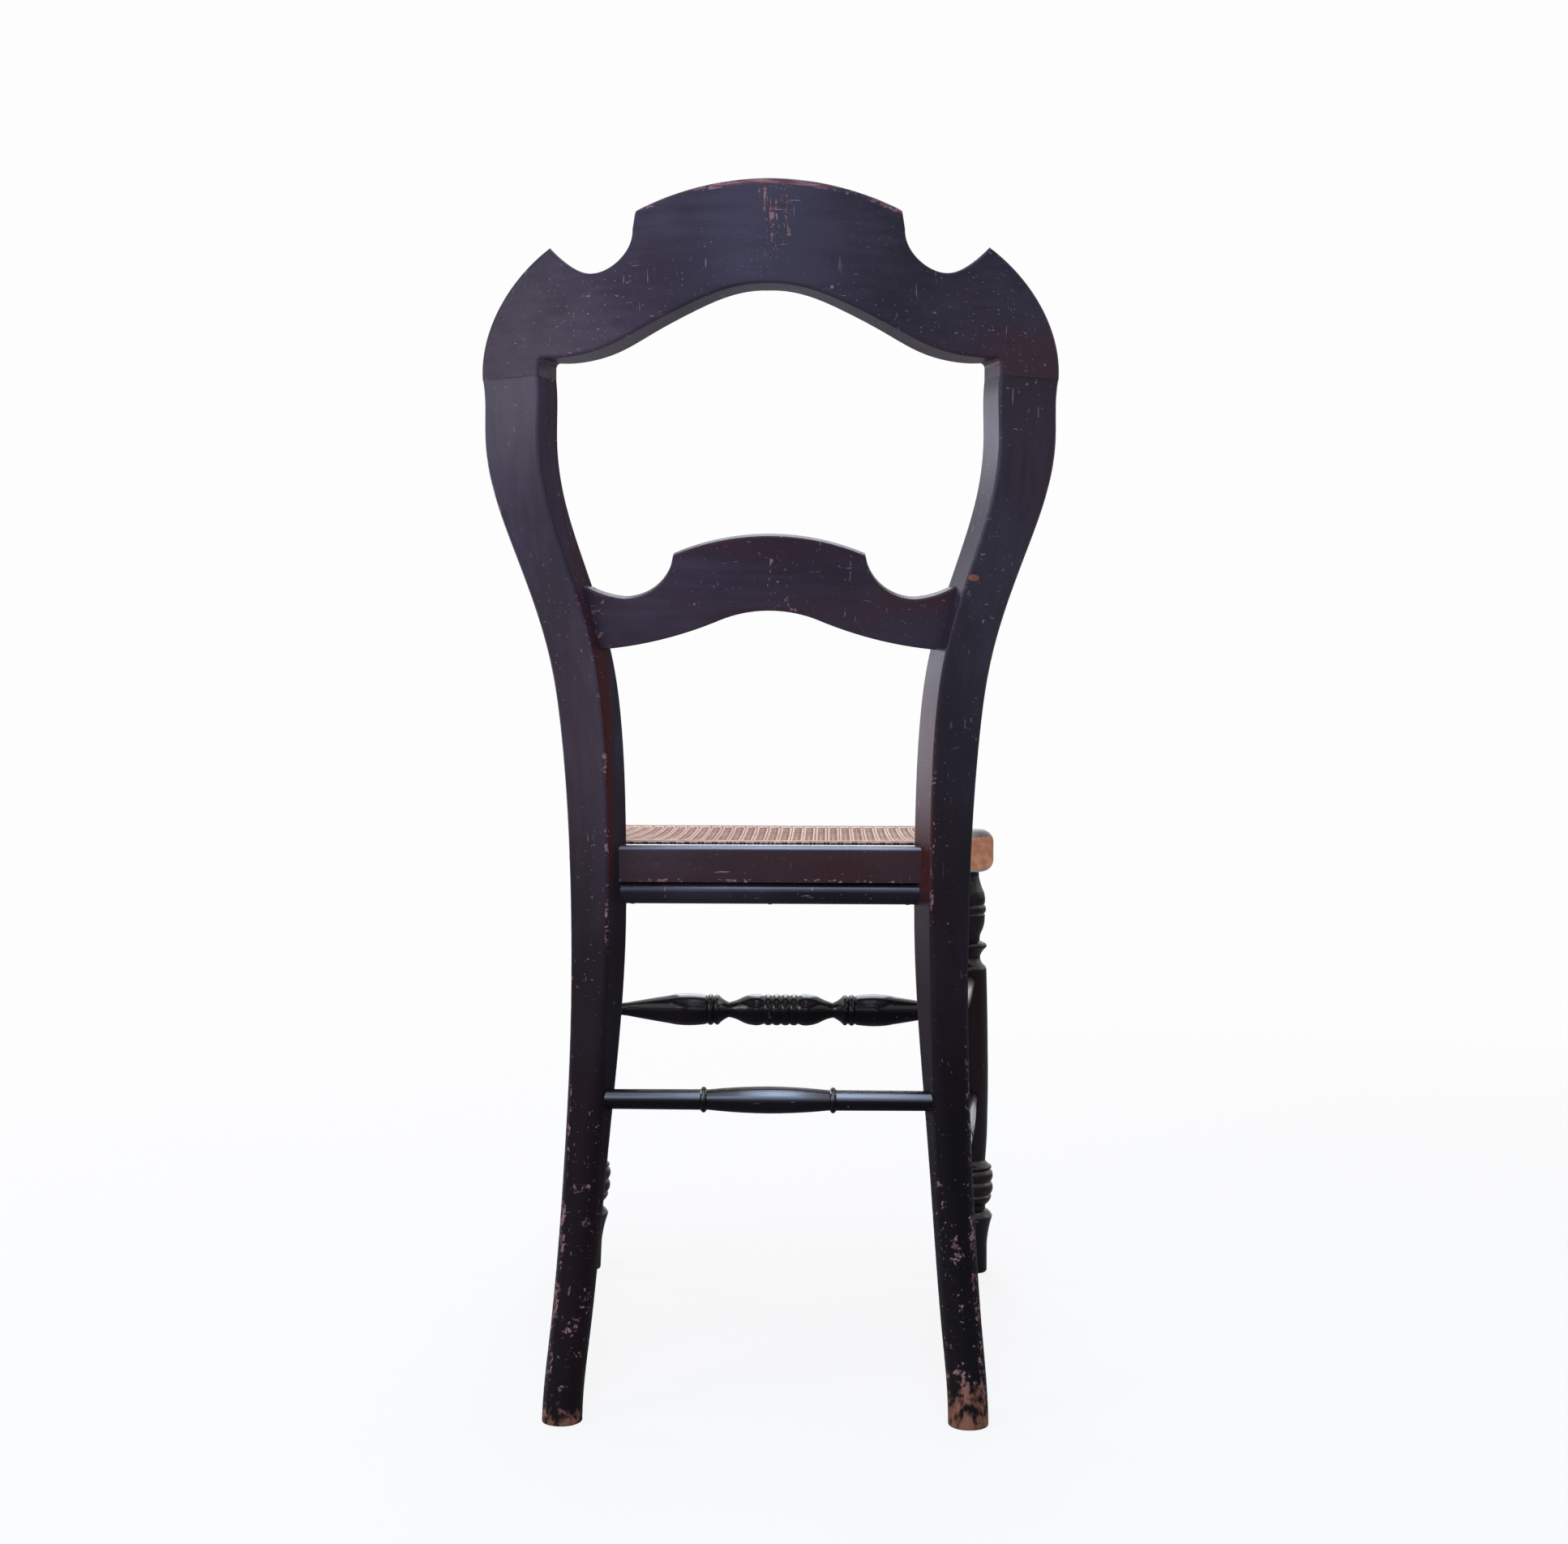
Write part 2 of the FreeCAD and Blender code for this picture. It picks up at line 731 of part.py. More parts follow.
def side_tongue(extra):
    """The +X side rail's tenon into its post, square to the post's front face."""
    spot = post_point(seat_height - side_rail_high / 2, side_tenon_out_share, 0)
    wide = tenon_thick + 2 * extra
    high = side_rail_high - 2 * tenon_margin + 2 * extra
    back = tenon_deep / 2 + extra
    ahead = tenon_deep
    block = Part.makeBox(wide, back + ahead, high, V(-wide / 2, -ahead, -high / 2))
    block.rotate(V(0, 0, 0), UP, -post_turn)
    block.translate(spot)
    return block


# Front legs, under the front rail's corners
leg_height = rail_bottom
leg_foot = V(front_leg_foot_half, seat_front_y + rail_wide / 2, 0)
leg_top = V(front_leg_top_half, seat_front_y + rail_wide / 2, leg_height)
leg_lean = math.degrees(math.atan2(front_leg_foot_half - front_leg_top_half, leg_height))


def set_leg(shape):
    """Lean an upright turned leg outwards and cut its foot and shoulder level."""
    placed = shape.copy()
    placed.rotate(V(0, 0, 0), V(0, 1, 0), -leg_lean)
    placed.translate(leg_foot)
    return placed


def leg_point(height):
    return leg_foot + (leg_top - leg_foot) * (height / leg_height)


long_leg = turned(front_leg_shares, leg_height, front_leg_radius, False)
leg_tenon_length = front_leg_tenon + overrun
leg_tenon_start = V(0, 0, leg_height - overrun)
leg_tenon = Part.makeCylinder(front_leg_tenon_radius, leg_tenon_length, leg_tenon_start, UP)
leg_blank = set_leg(long_leg.fuse(leg_tenon))
leg_hole = set_leg(Part.makeCylinder(front_leg_tenon_radius + joint_clearance,
                                     leg_tenon_length + joint_clearance, leg_tenon_start, UP))
shoulder_box = Part.makeBox(2 * half_depth, 2 * half_depth, side_rail_high,
                            V(0, -2 * half_depth, rail_bottom))
tenon_room = set_leg(Part.makeCylinder(front_leg_tenon_radius, 2 * leg_height, V(0, 0, 0), UP))
below_floor = Part.makeBox(2 * half_depth, 2 * half_depth, overrun, V(0, -2 * half_depth, -overrun))
leg_blank = only_solid(leg_blank.cut(below_floor).cut(shoulder_box.cut(tenon_room)))


# Stretchers
def stretcher(shares, length, radius):
    return turned(shares, length / 2, radius, True)


leg_mid = leg_point(front_stretcher_height)
leg_shaft_radius = front_leg_radius * front_leg_shaft_share
front_half = leg_mid.x - leg_shaft_radius + stretcher_tenon
front_start = V(-front_half, leg_mid.y, front_stretcher_height)
front_end = V(front_half, leg_mid.y, front_stretcher_height)
front_stretcher = laid_between(
    stretcher(front_stretcher_shares, 2 * front_half, front_stretcher_radius), front_start, front_end)

rear_spot = post_point(rear_stretcher_height, 0, stretcher_inset_share)
rear_half_run = rear_spot.x + stretcher_tenon
rear_start = V(-rear_half_run, rear_spot.y, rear_stretcher_height)
rear_end = V(rear_half_run, rear_spot.y, rear_stretcher_height)
rear_stretcher = laid_between(
    stretcher(rear_stretcher_shares, 2 * rear_half_run, rear_stretcher_radius), rear_start, rear_end)

side_stretchers = {}
side_ends = {}
for level in side_stretcher_heights:
    height = side_stretcher_heights[level]
    in_post = post_point(height, middle_share, middle_share)
    in_leg = leg_point(height)
    run = (in_leg - in_post).normalize()
    start = in_post + run * (post_thick / 2 - stretcher_tenon)
    end = in_leg - run * (leg_shaft_radius - stretcher_tenon)
    blank = stretcher(side_stretcher_shares, (end - start).Length, side_stretcher_radius)
    side_stretchers[level] = laid_between(blank, start, end)
    side_ends[level] = (start, end)


# A tapering end widens inside its socket, so each socket follows the stretcher itself
def grown(shares, length, radius, start, end):
    """The stretcher again, thicker and longer by the joint's clearance, to cut with."""
    full = length + 2 * joint_clearance
    thick = [(share[0],) + tuple(value + joint_clearance / radius for value in share[1:])
             for share in shares]
    return laid_between(turned(thick, full / 2, radius, True), start, end)


front_socket = grown(front_stretcher_shares, 2 * front_half, front_stretcher_radius,
                     front_start, front_end)
rear_socket = grown(rear_stretcher_shares, 2 * rear_half_run, rear_stretcher_radius,
                    rear_start, rear_end)
side_sockets = []
for level in side_stretcher_heights:
    start, end = side_ends[level]
    side_sockets.append(grown(side_stretcher_shares, (end - start).Length,
                              side_stretcher_radius, start, end))

# Finished posts and legs
post_cuts = slat_tongue(joint_clearance) + side_sockets + crest_pin_holes
post_cuts += [rear_tongue(joint_clearance), side_tongue(joint_clearance), rear_socket]
rear_post_left = only_solid(post_blank.cut(post_cuts))
front_leg_left = only_solid(leg_blank.cut([front_socket] + side_sockets))

# Finished middle rail: shouldered against both posts, tongue and all
slat_body = only_solid(lean_slat(slat_upright).cut(post_pair))
mid_rail = only_solid(slat_body.fuse(slat_tongue(0)).removeSplitter())


# Cane holes in the rails, in a ring round the opening
def line_points(start, end, pitch):
    """Points from start towards end, evenly spaced near the pitch, without the end."""
    run = end - start
    count = max(2, round(run.Length / pitch))
    return [start + run * (number / count) for number in range(count)]


def cane_ring(set_back):
    """Corners of the opening, moved out over the rails by set_back."""
    slope = set_back * math.hypot(1, inner_lean)
    rear_y = rear_rail_front + set_back
    front_y = front_rail_back - set_back
    rear_x = opening_rear_half + slope - set_back * inner_lean
    front_x = opening_front_half + slope + set_back * inner_lean
    return [V(rear_x, rear_y, 0), V(front_x, front_y, 0),
            V(-front_x, front_y, 0), V(-rear_x, rear_y, 0)]


ring = cane_ring(cane_hole_from_edge)
hole_spots = []
for number in range(4):
    hole_spots += line_points(ring[number], ring[(number + 1) % 4], cane_hole_pitch)


def drill_holes(rail, low):
    """Drill every cane hole whose whole width lies over this rail."""
    tools = []
    for spot in hole_spots:
        inside = rail.isInside(V(spot.x, spot.y, (low + seat_height) / 2), joint_clearance, True)
        if inside:
            tools.append(Part.makeCylinder(cane_hole_radius, seat_height - low + 2 * overrun,
                                           V(spot.x, spot.y, low - overrun), UP))
    return only_solid(rail.cut(tools)) if tools else rail


# Dowels between the side rails and the front rail
frame_pins = []
frame_pin_holes = []
for share in (dowel_spread_share, 1 - dowel_spread_share):
    pin_x = opening_front_half + side_rail_wide / 2
    pin_z = rail_bottom + side_rail_high * share
    spot = V(pin_x, front_rail_back - front_dowel_ahead, pin_z)
    ahead = V(0, 1, 0)
    pin = Part.makeCylinder(dowel_radius, 2 * dowel_half_length, spot, ahead)
    longer = 2 * (dowel_half_length + dowel_clearance)
    hole = Part.makeCylinder(dowel_radius + dowel_clearance, longer,
                             spot - ahead * dowel_clearance, ahead)
    frame_pins += both_sides(pin)
    frame_pin_holes += both_sides(hole)

side_body = only_solid(side_blank.fuse(side_tongue(0)).removeSplitter())
side_body = only_solid(side_body.cut(frame_pin_holes))
front_body = only_solid(front_blank.cut(frame_pin_holes + both_sides(leg_hole)))
rear_body = only_solid(rear_blank.fuse(rear_tongue(0)).removeSplitter())
seat_rail_left = drill_holes(side_body, rail_bottom)
seat_rail_front = drill_holes(front_body, rail_bottom)
seat_rail_rear = drill_holes(rear_body, rear_low)

# Bead under the rear rail, flattened where it is planted on the rail
bead_top = rear_low - bead_gap
flat = bead_radius * bead_flat_share
bead_z = bead_top - bead_radius + flat
bead_y = rear_face - bead_set_back - bead_radius
bead_half = stations[len(leg_station_shares)][1][0].x
bead = Part.makeCylinder(bead_radius, 2 * bead_half, V(-bead_half, bead_y, bead_z), ACROSS)
planed = Part.makeBox(2 * bead_half, 2 * bead_radius, flat + overrun,
                      V(-bead_half, bead_y - bead_radius, bead_top))
brads = []
brad_holes = []
for share in (-brad_spread_share, 0, brad_spread_share):
    foot = V(bead_half * share, bead_y, bead_z - bead_radius - brad_head / 2)
    shank = Part.makeCylinder(brad_radius, 2 * bead_radius + brad_length, foot, UP)
    head = Part.makeCylinder(brad_head_radius, brad_head, foot, UP)
    brads.append(shank.fuse(head))
    brad_holes.append(shank.fuse(head))
bead = bead.cut(planed).cut(post_pair).cut(side_pair)
rear_bead = only_solid(bead.cut(brad_holes))
seat_rail_rear = only_solid(seat_rail_rear.cut(brad_holes))


# Cane: one open panel, the binder over its edge, and the pegs that hold strands
def flat_ring_face(set_back, height):
    corners = [V(corner.x, corner.y, height) for corner in cane_ring(set_back)]
    return Part.makePolygon(corners + corners[:1])


def opening_half(y):
    return opening_rear_half + (rear_rail_front - y) * inner_lean


def cane_openings():
    """Eight-sided openings on a square grid that keep inside a rim of the seat opening."""
    wires = []
    room = rear_rail_front - front_rail_back - 2 * cane_rim
    rows = int((room + cane_grid - cane_gap) / cane_grid)
    first_y = (rear_rail_front + front_rail_back) / 2 - cane_grid * (rows - 1) / 2
    reach = cane_gap / 2
    step = reach * math.tan(math.radians(22.5))
    signs = [(reach, step), (step, reach), (-step, reach), (-reach, step),
             (-reach, -step), (-step, -reach), (step, -reach), (reach, -step)]
    for row in range(rows):
        y = first_y + cane_grid * row
        columns = int((opening_half(y + reach) - cane_rim - reach) / cane_grid)
        for column in range(-columns, columns + 1):
            x = cane_grid * column
            points = [V(x + dx, y + dy, seat_height) for dx, dy in signs]
            wires.append(Part.makePolygon(points + points[:1]))
    return wires


openings = cane_openings()
print("cane openings", len(openings))
cane_panel = Part.Face([flat_ring_face(cane_lap, seat_height)] + openings)
cane_panel = cane_panel.extrude(V(0, 0, cane_thick))
binder_low = seat_height + cane_thick
binder_out = Part.Face(flat_ring_face(cane_hole_from_edge + binder_wide / 2, binder_low))
binder_in = Part.Face(flat_ring_face(cane_hole_from_edge - binder_wide / 2, binder_low))
cane_binder = only_solid(binder_out.cut(binder_in).extrude(V(0, 0, binder_thick)))
peg_spots = hole_spots[::peg_every]
peg_low = seat_height - peg_length
cane_pegs = [Part.makeCylinder(peg_radius, peg_length, V(spot.x, spot.y, peg_low), UP)
             for spot in peg_spots]

pieces = {
    "rear_post_left": rear_post_left,
    "rear_post_right": rear_post_left.mirror(V(0, 0, 0), ACROSS),
    "crest_rail": crest_rail,
    "mid_rail": mid_rail,
    "seat_rail_rear": seat_rail_rear,
    "seat_rail_front": seat_rail_front,
    "seat_rail_left": seat_rail_left,
    "seat_rail_right": seat_rail_left.mirror(V(0, 0, 0), ACROSS),
    "rear_bead": rear_bead,
    "front_leg_left": front_leg_left,
    "front_leg_right": front_leg_left.mirror(V(0, 0, 0), ACROSS),
    "front_stretcher": front_stretcher,
    "rear_stretcher": rear_stretcher,
    "cane_panel": cane_panel,
    "cane_binder": cane_binder,
    "cane_pegs": Part.makeCompound(cane_pegs),
    "crest_dowels": Part.makeCompound(crest_pins),
    "seat_frame_dowels": Part.makeCompound(frame_pins),
    "bead_brads": Part.makeCompound(brads),
}
for level in side_stretchers:
    bar = side_stretchers[level]
    pieces["side_stretcher_" + level + "_left"] = bar
    pieces["side_stretcher_" + level + "_right"] = bar.mirror(V(0, 0, 0), ACROSS)

for name in pieces:
    pieces[name].exportStep("parts/" + name + ".step")
    solids = pieces[name].Solids
    volume = sum(solid.Volume for solid in solids)
    print(name, len(solids), "valid" if pieces[name].isValid() else "INVALID", round(volume))
whole = Part.makeCompound(list(pieces.values())).BoundBox
print("box", round(whole.XLength, 1), round(whole.YLength, 1), round(whole.ZLength, 1))
print("corner", round(whole.XMin, 2), round(whole.YMin, 2), round(whole.ZMin, 2))
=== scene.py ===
# %% [markdown]
# # A painted side chair with a caned seat
#
# The chair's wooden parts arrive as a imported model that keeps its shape. What is left to do is
# what a painter and a caner would do: lay old black paint over red-brown wood, wear it where hands
# and feet rub, decorate the faces that look forward, and weave the seat strand by strand.

# %% Load the wooden parts
import math
import random

import bmesh
import bpy
from mathutils import Matrix, Vector


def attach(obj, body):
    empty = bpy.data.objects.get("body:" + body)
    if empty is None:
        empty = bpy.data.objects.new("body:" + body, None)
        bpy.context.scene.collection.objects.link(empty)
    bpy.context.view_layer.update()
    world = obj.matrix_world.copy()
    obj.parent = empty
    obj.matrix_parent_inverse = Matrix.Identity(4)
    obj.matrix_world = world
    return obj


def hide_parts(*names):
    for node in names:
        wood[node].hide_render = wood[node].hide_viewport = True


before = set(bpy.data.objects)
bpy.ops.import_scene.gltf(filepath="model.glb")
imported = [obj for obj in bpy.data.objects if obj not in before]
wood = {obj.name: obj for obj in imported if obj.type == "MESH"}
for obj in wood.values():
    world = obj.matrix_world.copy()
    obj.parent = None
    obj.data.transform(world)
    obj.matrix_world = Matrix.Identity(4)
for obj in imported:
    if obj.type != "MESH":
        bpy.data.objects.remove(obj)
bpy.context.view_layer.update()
random.seed(41)

# %% [markdown]
# ## Where the camera stands
#
# The chair is seen from behind, a little above the seat, from 1.8 metres behind its middle. A
# camera looks along its own -Z, so its turn is built from three directions: to the right, up, and
# back towards the viewer. The picture leans by less than a quarter of a degree.

# %% Camera
camera_data = bpy.data.cameras.new("view_from_behind")
camera_data.lens = 50.61
camera_data.sensor_width = 36.0
camera = bpy.data.objects.new("view_from_behind", camera_data)
bpy.context.scene.collection.objects.link(camera)
bpy.context.scene.camera = camera
eye = (-0.0464, 1.8025, 0.476)
turn, tip, lean = math.radians(1.25), math.radians(0.46), math.radians(0.18)
ahead = Vector((math.sin(turn) * math.cos(tip), -math.cos(turn) * math.cos(tip), -math.sin(tip)))
level_right = Vector((-math.cos(turn), -math.sin(turn), 0))
level_up = level_right.cross(ahead)
right = level_right * math.cos(lean) + level_up * math.sin(lean)
up = level_up * math.cos(lean) - level_right * math.sin(lean)
camera.matrix_world = Matrix.Translation(eye) @ Matrix((right, up, -ahead)).transposed().to_4x4()
print("camera looks along", [round(v, 3) for v in ahead])

# %% [markdown]
# ## Light
#
# One soft window stands behind the chair on its left, so the crest darkens from left to right. A
# second one, in front on the same side, is mirrored by the inner side of the right post. A long
# cool strip hangs over the chair's middle line: the bead, the rails and the stretchers run across
# it, so each mirrors it as a bluish line along its top. A second, wider strip goes on towards the
# front, a square blue window stands above and behind the viewer, and a weak lamp fills the right
# side.

# %% Lights
def soft_light(name, place, aim, size, watts, colour):
    """A rectangular lamp that faces a point; size is its width and its height."""
    data = bpy.data.lights.new(name, "AREA")
    data.shape = "RECTANGLE"
    data.size, data.size_y = size
    data.energy = watts
    data.color = colour
    lamp = bpy.data.objects.new(name, data)
    bpy.context.scene.collection.objects.link(lamp)
    lamp.location = place
    lamp.rotation_euler = (Vector(aim) - Vector(place)).to_track_quat("-Z", "Y").to_euler()
    lamp.visible_camera = False
    return lamp


soft_light("window_left", (2.3, 1.75, 1.15), (0, 0.1, 0.6), (1.4, 1.4), 29, (0.97, 0.94, 1.0))
soft_light("window_front", (2.4, -1.65, 0.62), (0, 0.1, 0.5), (1.5, 1.4), 39, (0.80, 0.84, 1.0))
soft_light("window_behind", (0.3, 2.7, 1.7), (0, 0.1, 0.2), (1.5, 1.5), 25, (0.36, 0.54, 1.0))
soft_light("strip_above", (0.0, 0.75, 2.1), (0, 0.05, 0.3), (0.4, 2.4), 26, (0.58, 0.72, 1.0))
soft_light("strip_front", (0.0, -1.75, 2.0), (0, 0.05, 0.3), (0.9, 2.0), 28, (0.82, 0.88, 1.0))
soft_light("room_right", (-2.4, -0.6, 1.2), (0, 0, 0.5), (1.6, 1.6), 7, (1.0, 0.96, 0.92))
sky = bpy.data.worlds.new("pale_room")
bpy.context.scene.world = sky
sky.use_nodes = True
bpy.context.scene.view_settings.view_transform = "Standard"

# %% [markdown]
# ## Writing a finish as sums
#
# A finish is a network of nodes, and most of its nodes are sums. `Value` wraps one socket, so that
# `1 - worn * grime` adds the Math nodes itself. `Finish` is one material, and its `node` method
# makes any other node from its settings and its sockets.

# %% Values that can be added and multiplied
class Value:
    """One number of a finish, for use in sums."""

    def __init__(self, socket):
        self.socket = socket

    def sum(self, operation, *parts):
        """The result of one Math node, whose parts are values or plain numbers."""
        tree = self.socket.id_data
        node = tree.nodes.new("ShaderNodeMath")
        node.operation = operation
        for slot, part in zip(node.inputs, parts):
            if isinstance(part, Value):
                tree.links.new(part.socket, slot)
            else:
                slot.default_value = part
        return Value(node.outputs[0])

    def __add__(self, other):
        return self.sum("ADD", self, other)

    def __sub__(self, other):
        return self.sum("SUBTRACT", self, other)

    def __rsub__(self, other):
        return self.sum("SUBTRACT", other, self)

    def __mul__(self, other):
        return self.sum("MULTIPLY", self, other)

    def __truediv__(self, other):
        return self.sum("DIVIDE", self, other)

    def __pow__(self, other):
        return self.sum("POWER", self, other)

    def __abs__(self):
        return self.sum("ABSOLUTE", self)

    def most(self, other):
        """The larger of the two."""
        return self.sum("MAXIMUM", self, other)

    __radd__ = __add__


# %% One material and its nodes
class Finish:
    """A material whose shader is set up by hand."""

    def __init__(self, name):
        self.material = bpy.data.materials.new(name)
        self.material.use_nodes = True
        self.tree = self.material.node_tree
        self.shader = self.tree.nodes["Principled BSDF"]
        self.places = {}
        self.looks = {}

    def node(self, kind, settings=None, sockets=None):
        """A node of that kind: settings first, then the values or links of its sockets."""
        made = self.tree.nodes.new(kind)
        for name, value in (settings or {}).items():
            setattr(made, name, value)
        for name, value in (sockets or {}).items():
            slot = next(s for s in made.inputs if name in (s.identifier, s.name) and s.enabled)
            if isinstance(value, Value):
                self.tree.links.new(value.socket, slot)
            else:
                slot.default_value = value
        return made

    def place(self, stretch=(1, 1, 1), shift=(0, 0, 0), spin=(0, 0, 0)):
        """The object's own coordinates, stretched, shifted and turned."""
        seat = Value(self.node("ShaderNodeTexCoord").outputs["Object"])
        moved = self.node("ShaderNodeMapping", None, {
            "Vector": seat, "Scale": stretch, "Location": shift, "Rotation": spin})
        return Value(moved.outputs[0])

    def axis(self, letter):
        """One coordinate in metres: X to the sitter's left, Y to the back, Z up."""
        if not self.places:
            parts = self.node("ShaderNodeSeparateXYZ", None, {"Vector": self.place()})
            self.places = {name: Value(parts.outputs[name]) for name in "XYZ"}
        return self.places[letter]

    def cloud(self, scale, detail=3.0, stretch=(1, 1, 1), shift=(0, 0, 0), spin=(0, 0, 0),
              roughness=0.5):
        """Soft noise between 0 and 1."""
        made = self.node("ShaderNodeTexNoise", None, {
            "Vector": self.place(stretch, shift, spin), "Scale": scale, "Detail": detail,
            "Roughness": roughness})
        return Value(made.outputs[0])

    def between(self, value, low, high):
        """0 below low, 1 above high, and smooth between; low may be the larger."""
        made = self.node("ShaderNodeMapRange", {"interpolation_type": "SMOOTHSTEP"}, {
            "Value": value, "From Min": low, "From Max": high})
        return Value(made.outputs[0])

    def blend(self, share, first, second):
        """From the first colour to the second as share goes from 0 to 1."""
        made = self.node("ShaderNodeMix", {"data_type": "RGBA"}, {
            "Factor_Float": share, "A_Color": first, "B_Color": second})
        return Value(next(s for s in made.outputs if s.identifier == "Result_Color"))

    def facing(self, axis):
        """How far the surface looks along an axis, from -1 to 1."""
        if not self.looks:
            normal = Value(self.node("ShaderNodeNewGeometry").outputs["Normal"])
            parts = self.node("ShaderNodeSeparateXYZ", None, {"Vector": normal})
            self.looks = {name: Value(parts.outputs[name]) for name in "XYZ"}
        return self.looks[axis]

    def band(self, value, low, high, soft):
        """1 from low to high, fading to 0 over soft on both sides."""
        return self.between(value, low - soft, low) * self.between(value, high + soft, high)

    def specks(self, scale, share, size, shift, stretch=(1, 1, 1)):
        """Small dots of many sizes in a share of the cells of a cell pattern."""
        cells = self.node("ShaderNodeTexVoronoi", None, {
            "Vector": self.place(stretch, shift), "Scale": scale})
        parts = self.node("ShaderNodeSeparateXYZ", None, {"Vector": Value(cells.outputs["Color"])})
        chance, large = Value(parts.outputs["X"]), Value(parts.outputs["Y"])
        near = Value(cells.outputs["Distance"]) / (large * 0.7 + 0.3)
        return self.between(near, size, size * 0.7) * self.between(chance, share + 0.01, share)

    def finish(self, colour, roughness, height, depth, **fixed):
        """Link what varies, and set what doesn't on the shader itself."""
        self.tree.links.new(colour.socket, self.shader.inputs["Base Color"])
        self.tree.links.new(roughness.socket, self.shader.inputs["Roughness"])
        bump = self.node("ShaderNodeBump", None, {
            "Height": height, "Strength": 1.0, "Distance": depth})
        self.tree.links.new(bump.outputs[0], self.shader.inputs["Normal"])
        for name, value in fixed.items():
            self.shader.inputs[name.replace("_", " ")].default_value = value
        return self.material


def flat(red, green, blue):
    """A colour from the 0 to 255 of a swatch, by the usual curve of a screen."""
    swatch = (red / 255, green / 255, blue / 255)
    return tuple(c / 12.92 if c <= 0.04045 else ((c + 0.055) / 1.055) ** 2.4
                 for c in swatch) + (1.0,)


print("tools for finishes are ready")

# %% [markdown]
# ## Floor and room
#
# A camera ray sees the room as plain white, and so does a mirrored or a transmitted one, while the
# light that the room gives is weaker and cooler. The floor is a large matt cream sheet. The viewer
# sees a little of its own shade, which keeps a soft shadow near the feet, and more and more of the
# room's plain white further away.

# %% Floor
floor_half = 9
room_white = 0.985
near_share, far_share = 0.85, 1.0
near_edge, far_edge = 0.7, 2.6
sweep = bmesh.new()
bmesh.ops.create_grid(sweep, x_segments=1, y_segments=1, size=floor_half)
floor_mesh = bpy.data.meshes.new("floor")
sweep.to_mesh(floor_mesh)
sweep.free()
floor = bpy.data.objects.new("floor", floor_mesh)
bpy.context.scene.collection.objects.link(floor)
pale = Finish("pale_floor")
spots = pale.cloud(2.0)
floor_cream, floor_pale = (0.82, 0.79, 0.755, 1), (0.86, 0.83, 0.795, 1)
pale.finish(pale.blend(spots, floor_cream, floor_pale), 0.75 + spots * 0.1, spots, 0.0001,
            Specular_IOR_Level=0.2)
glow = pale.node("ShaderNodeEmission", None, {"Color": (1, 1, 1, 1), "Strength": room_white})
away = (pale.axis("X") * pale.axis("X") + pale.axis("Y") * pale.axis("Y")) ** 0.5
plain = near_share + pale.between(away, near_edge, far_edge) * (far_share - near_share)
paths = pale.node("ShaderNodeLightPath")
seen = Value(paths.outputs["Is Camera Ray"])
whiten = pale.node("ShaderNodeMixShader", None, {"Fac": seen * plain})
output = pale.tree.nodes["Material Output"]
pale.tree.links.new(pale.shader.outputs[0], whiten.inputs[1])
pale.tree.links.new(glow.outputs[0], whiten.inputs[2])
pale.tree.links.new(whiten.outputs[0], output.inputs["Surface"])
floor_mesh.materials.append(pale.material)
print("floor is", 2 * floor_half, "metres wide")

# %% Room
room = sky.node_tree
room_light = room.nodes["Background"]
room_light.inputs["Color"].default_value = (0.92, 0.94, 1.0, 1)
room_light.inputs["Strength"].default_value = 0.32
room_seen = room.nodes.new("ShaderNodeBackground")
room_seen.inputs["Color"].default_value = (room_white, room_white, room_white, 1)
room_seen.inputs["Strength"].default_value = 1.0
room_paths = room.nodes.new("ShaderNodeLightPath")
direct = Value(room_paths.outputs["Is Camera Ray"])
mirrored = Value(room_paths.outputs["Is Glossy Ray"])
passed = Value(room_paths.outputs["Is Transmission Ray"])
room_mix = room.nodes.new("ShaderNodeMixShader")
room.links.new(direct.most(mirrored).most(passed).socket, room_mix.inputs[0])
room.links.new(room_light.outputs[0], room_mix.inputs[1])
room.links.new(room_seen.outputs[0], room_mix.inputs[2])
room.links.new(room_mix.outputs[0], room.nodes["World Output"].inputs["Surface"])
print("room is plain white")

# %% [markdown]
# ## Old black paint
#
# The paint is nearly black, thin enough that the red-brown wood shows through in clouds. High on
# the back a plum-grey bloom lies over it. This is partly painted light: the paint is painted paler
# high up, and painted darker, as shade, on the right and towards the floor. Brushing and grain run
# along each piece. What is left of the varnish is a clear coat, so its weight says how glossy a
# place still is. Chips lay the wood bare. Hairline scratches and fine specks are only dust grey,
# and coarse specks are the one or the other. The first number of a cloud is how many lumps it has
# in a metre, and that of specks how many cells.

# %% The colours of the paint and of the wood
# The darkest paint. It also serves as painted shade low down and on the right.
paint_deep_in_shade = flat(16, 13, 15)
paint_plum = flat(46, 38, 48)
paint_pale = flat(61, 53, 65)
paint_brown = flat(60, 29, 29)
bare_brown = flat(128, 98, 95)
bare_dark = flat(88, 58, 60)
dust_grey = flat(160, 148, 158)
bronze = flat(176, 132, 66)
stretches = {"X": (0.08, 1, 1), "Y": (1, 0.08, 1), "Z": (1, 1, 0.08)}
strokes_along = {"X": (0.25, 1, 1), "Y": (1, 0.25, 1), "Z": (1, 1, 0.25)}
# Heights and sides of the bloom, which is partly painted light: paler high up, with painted shade
# low down and on the right.
bloom_and_light_low, bloom_and_light_high = 0.18, 0.60
right_shade_start, right_shade_full = 0.11, -0.06
right_shade_depth = 0.36
paint_depth = 0.00022


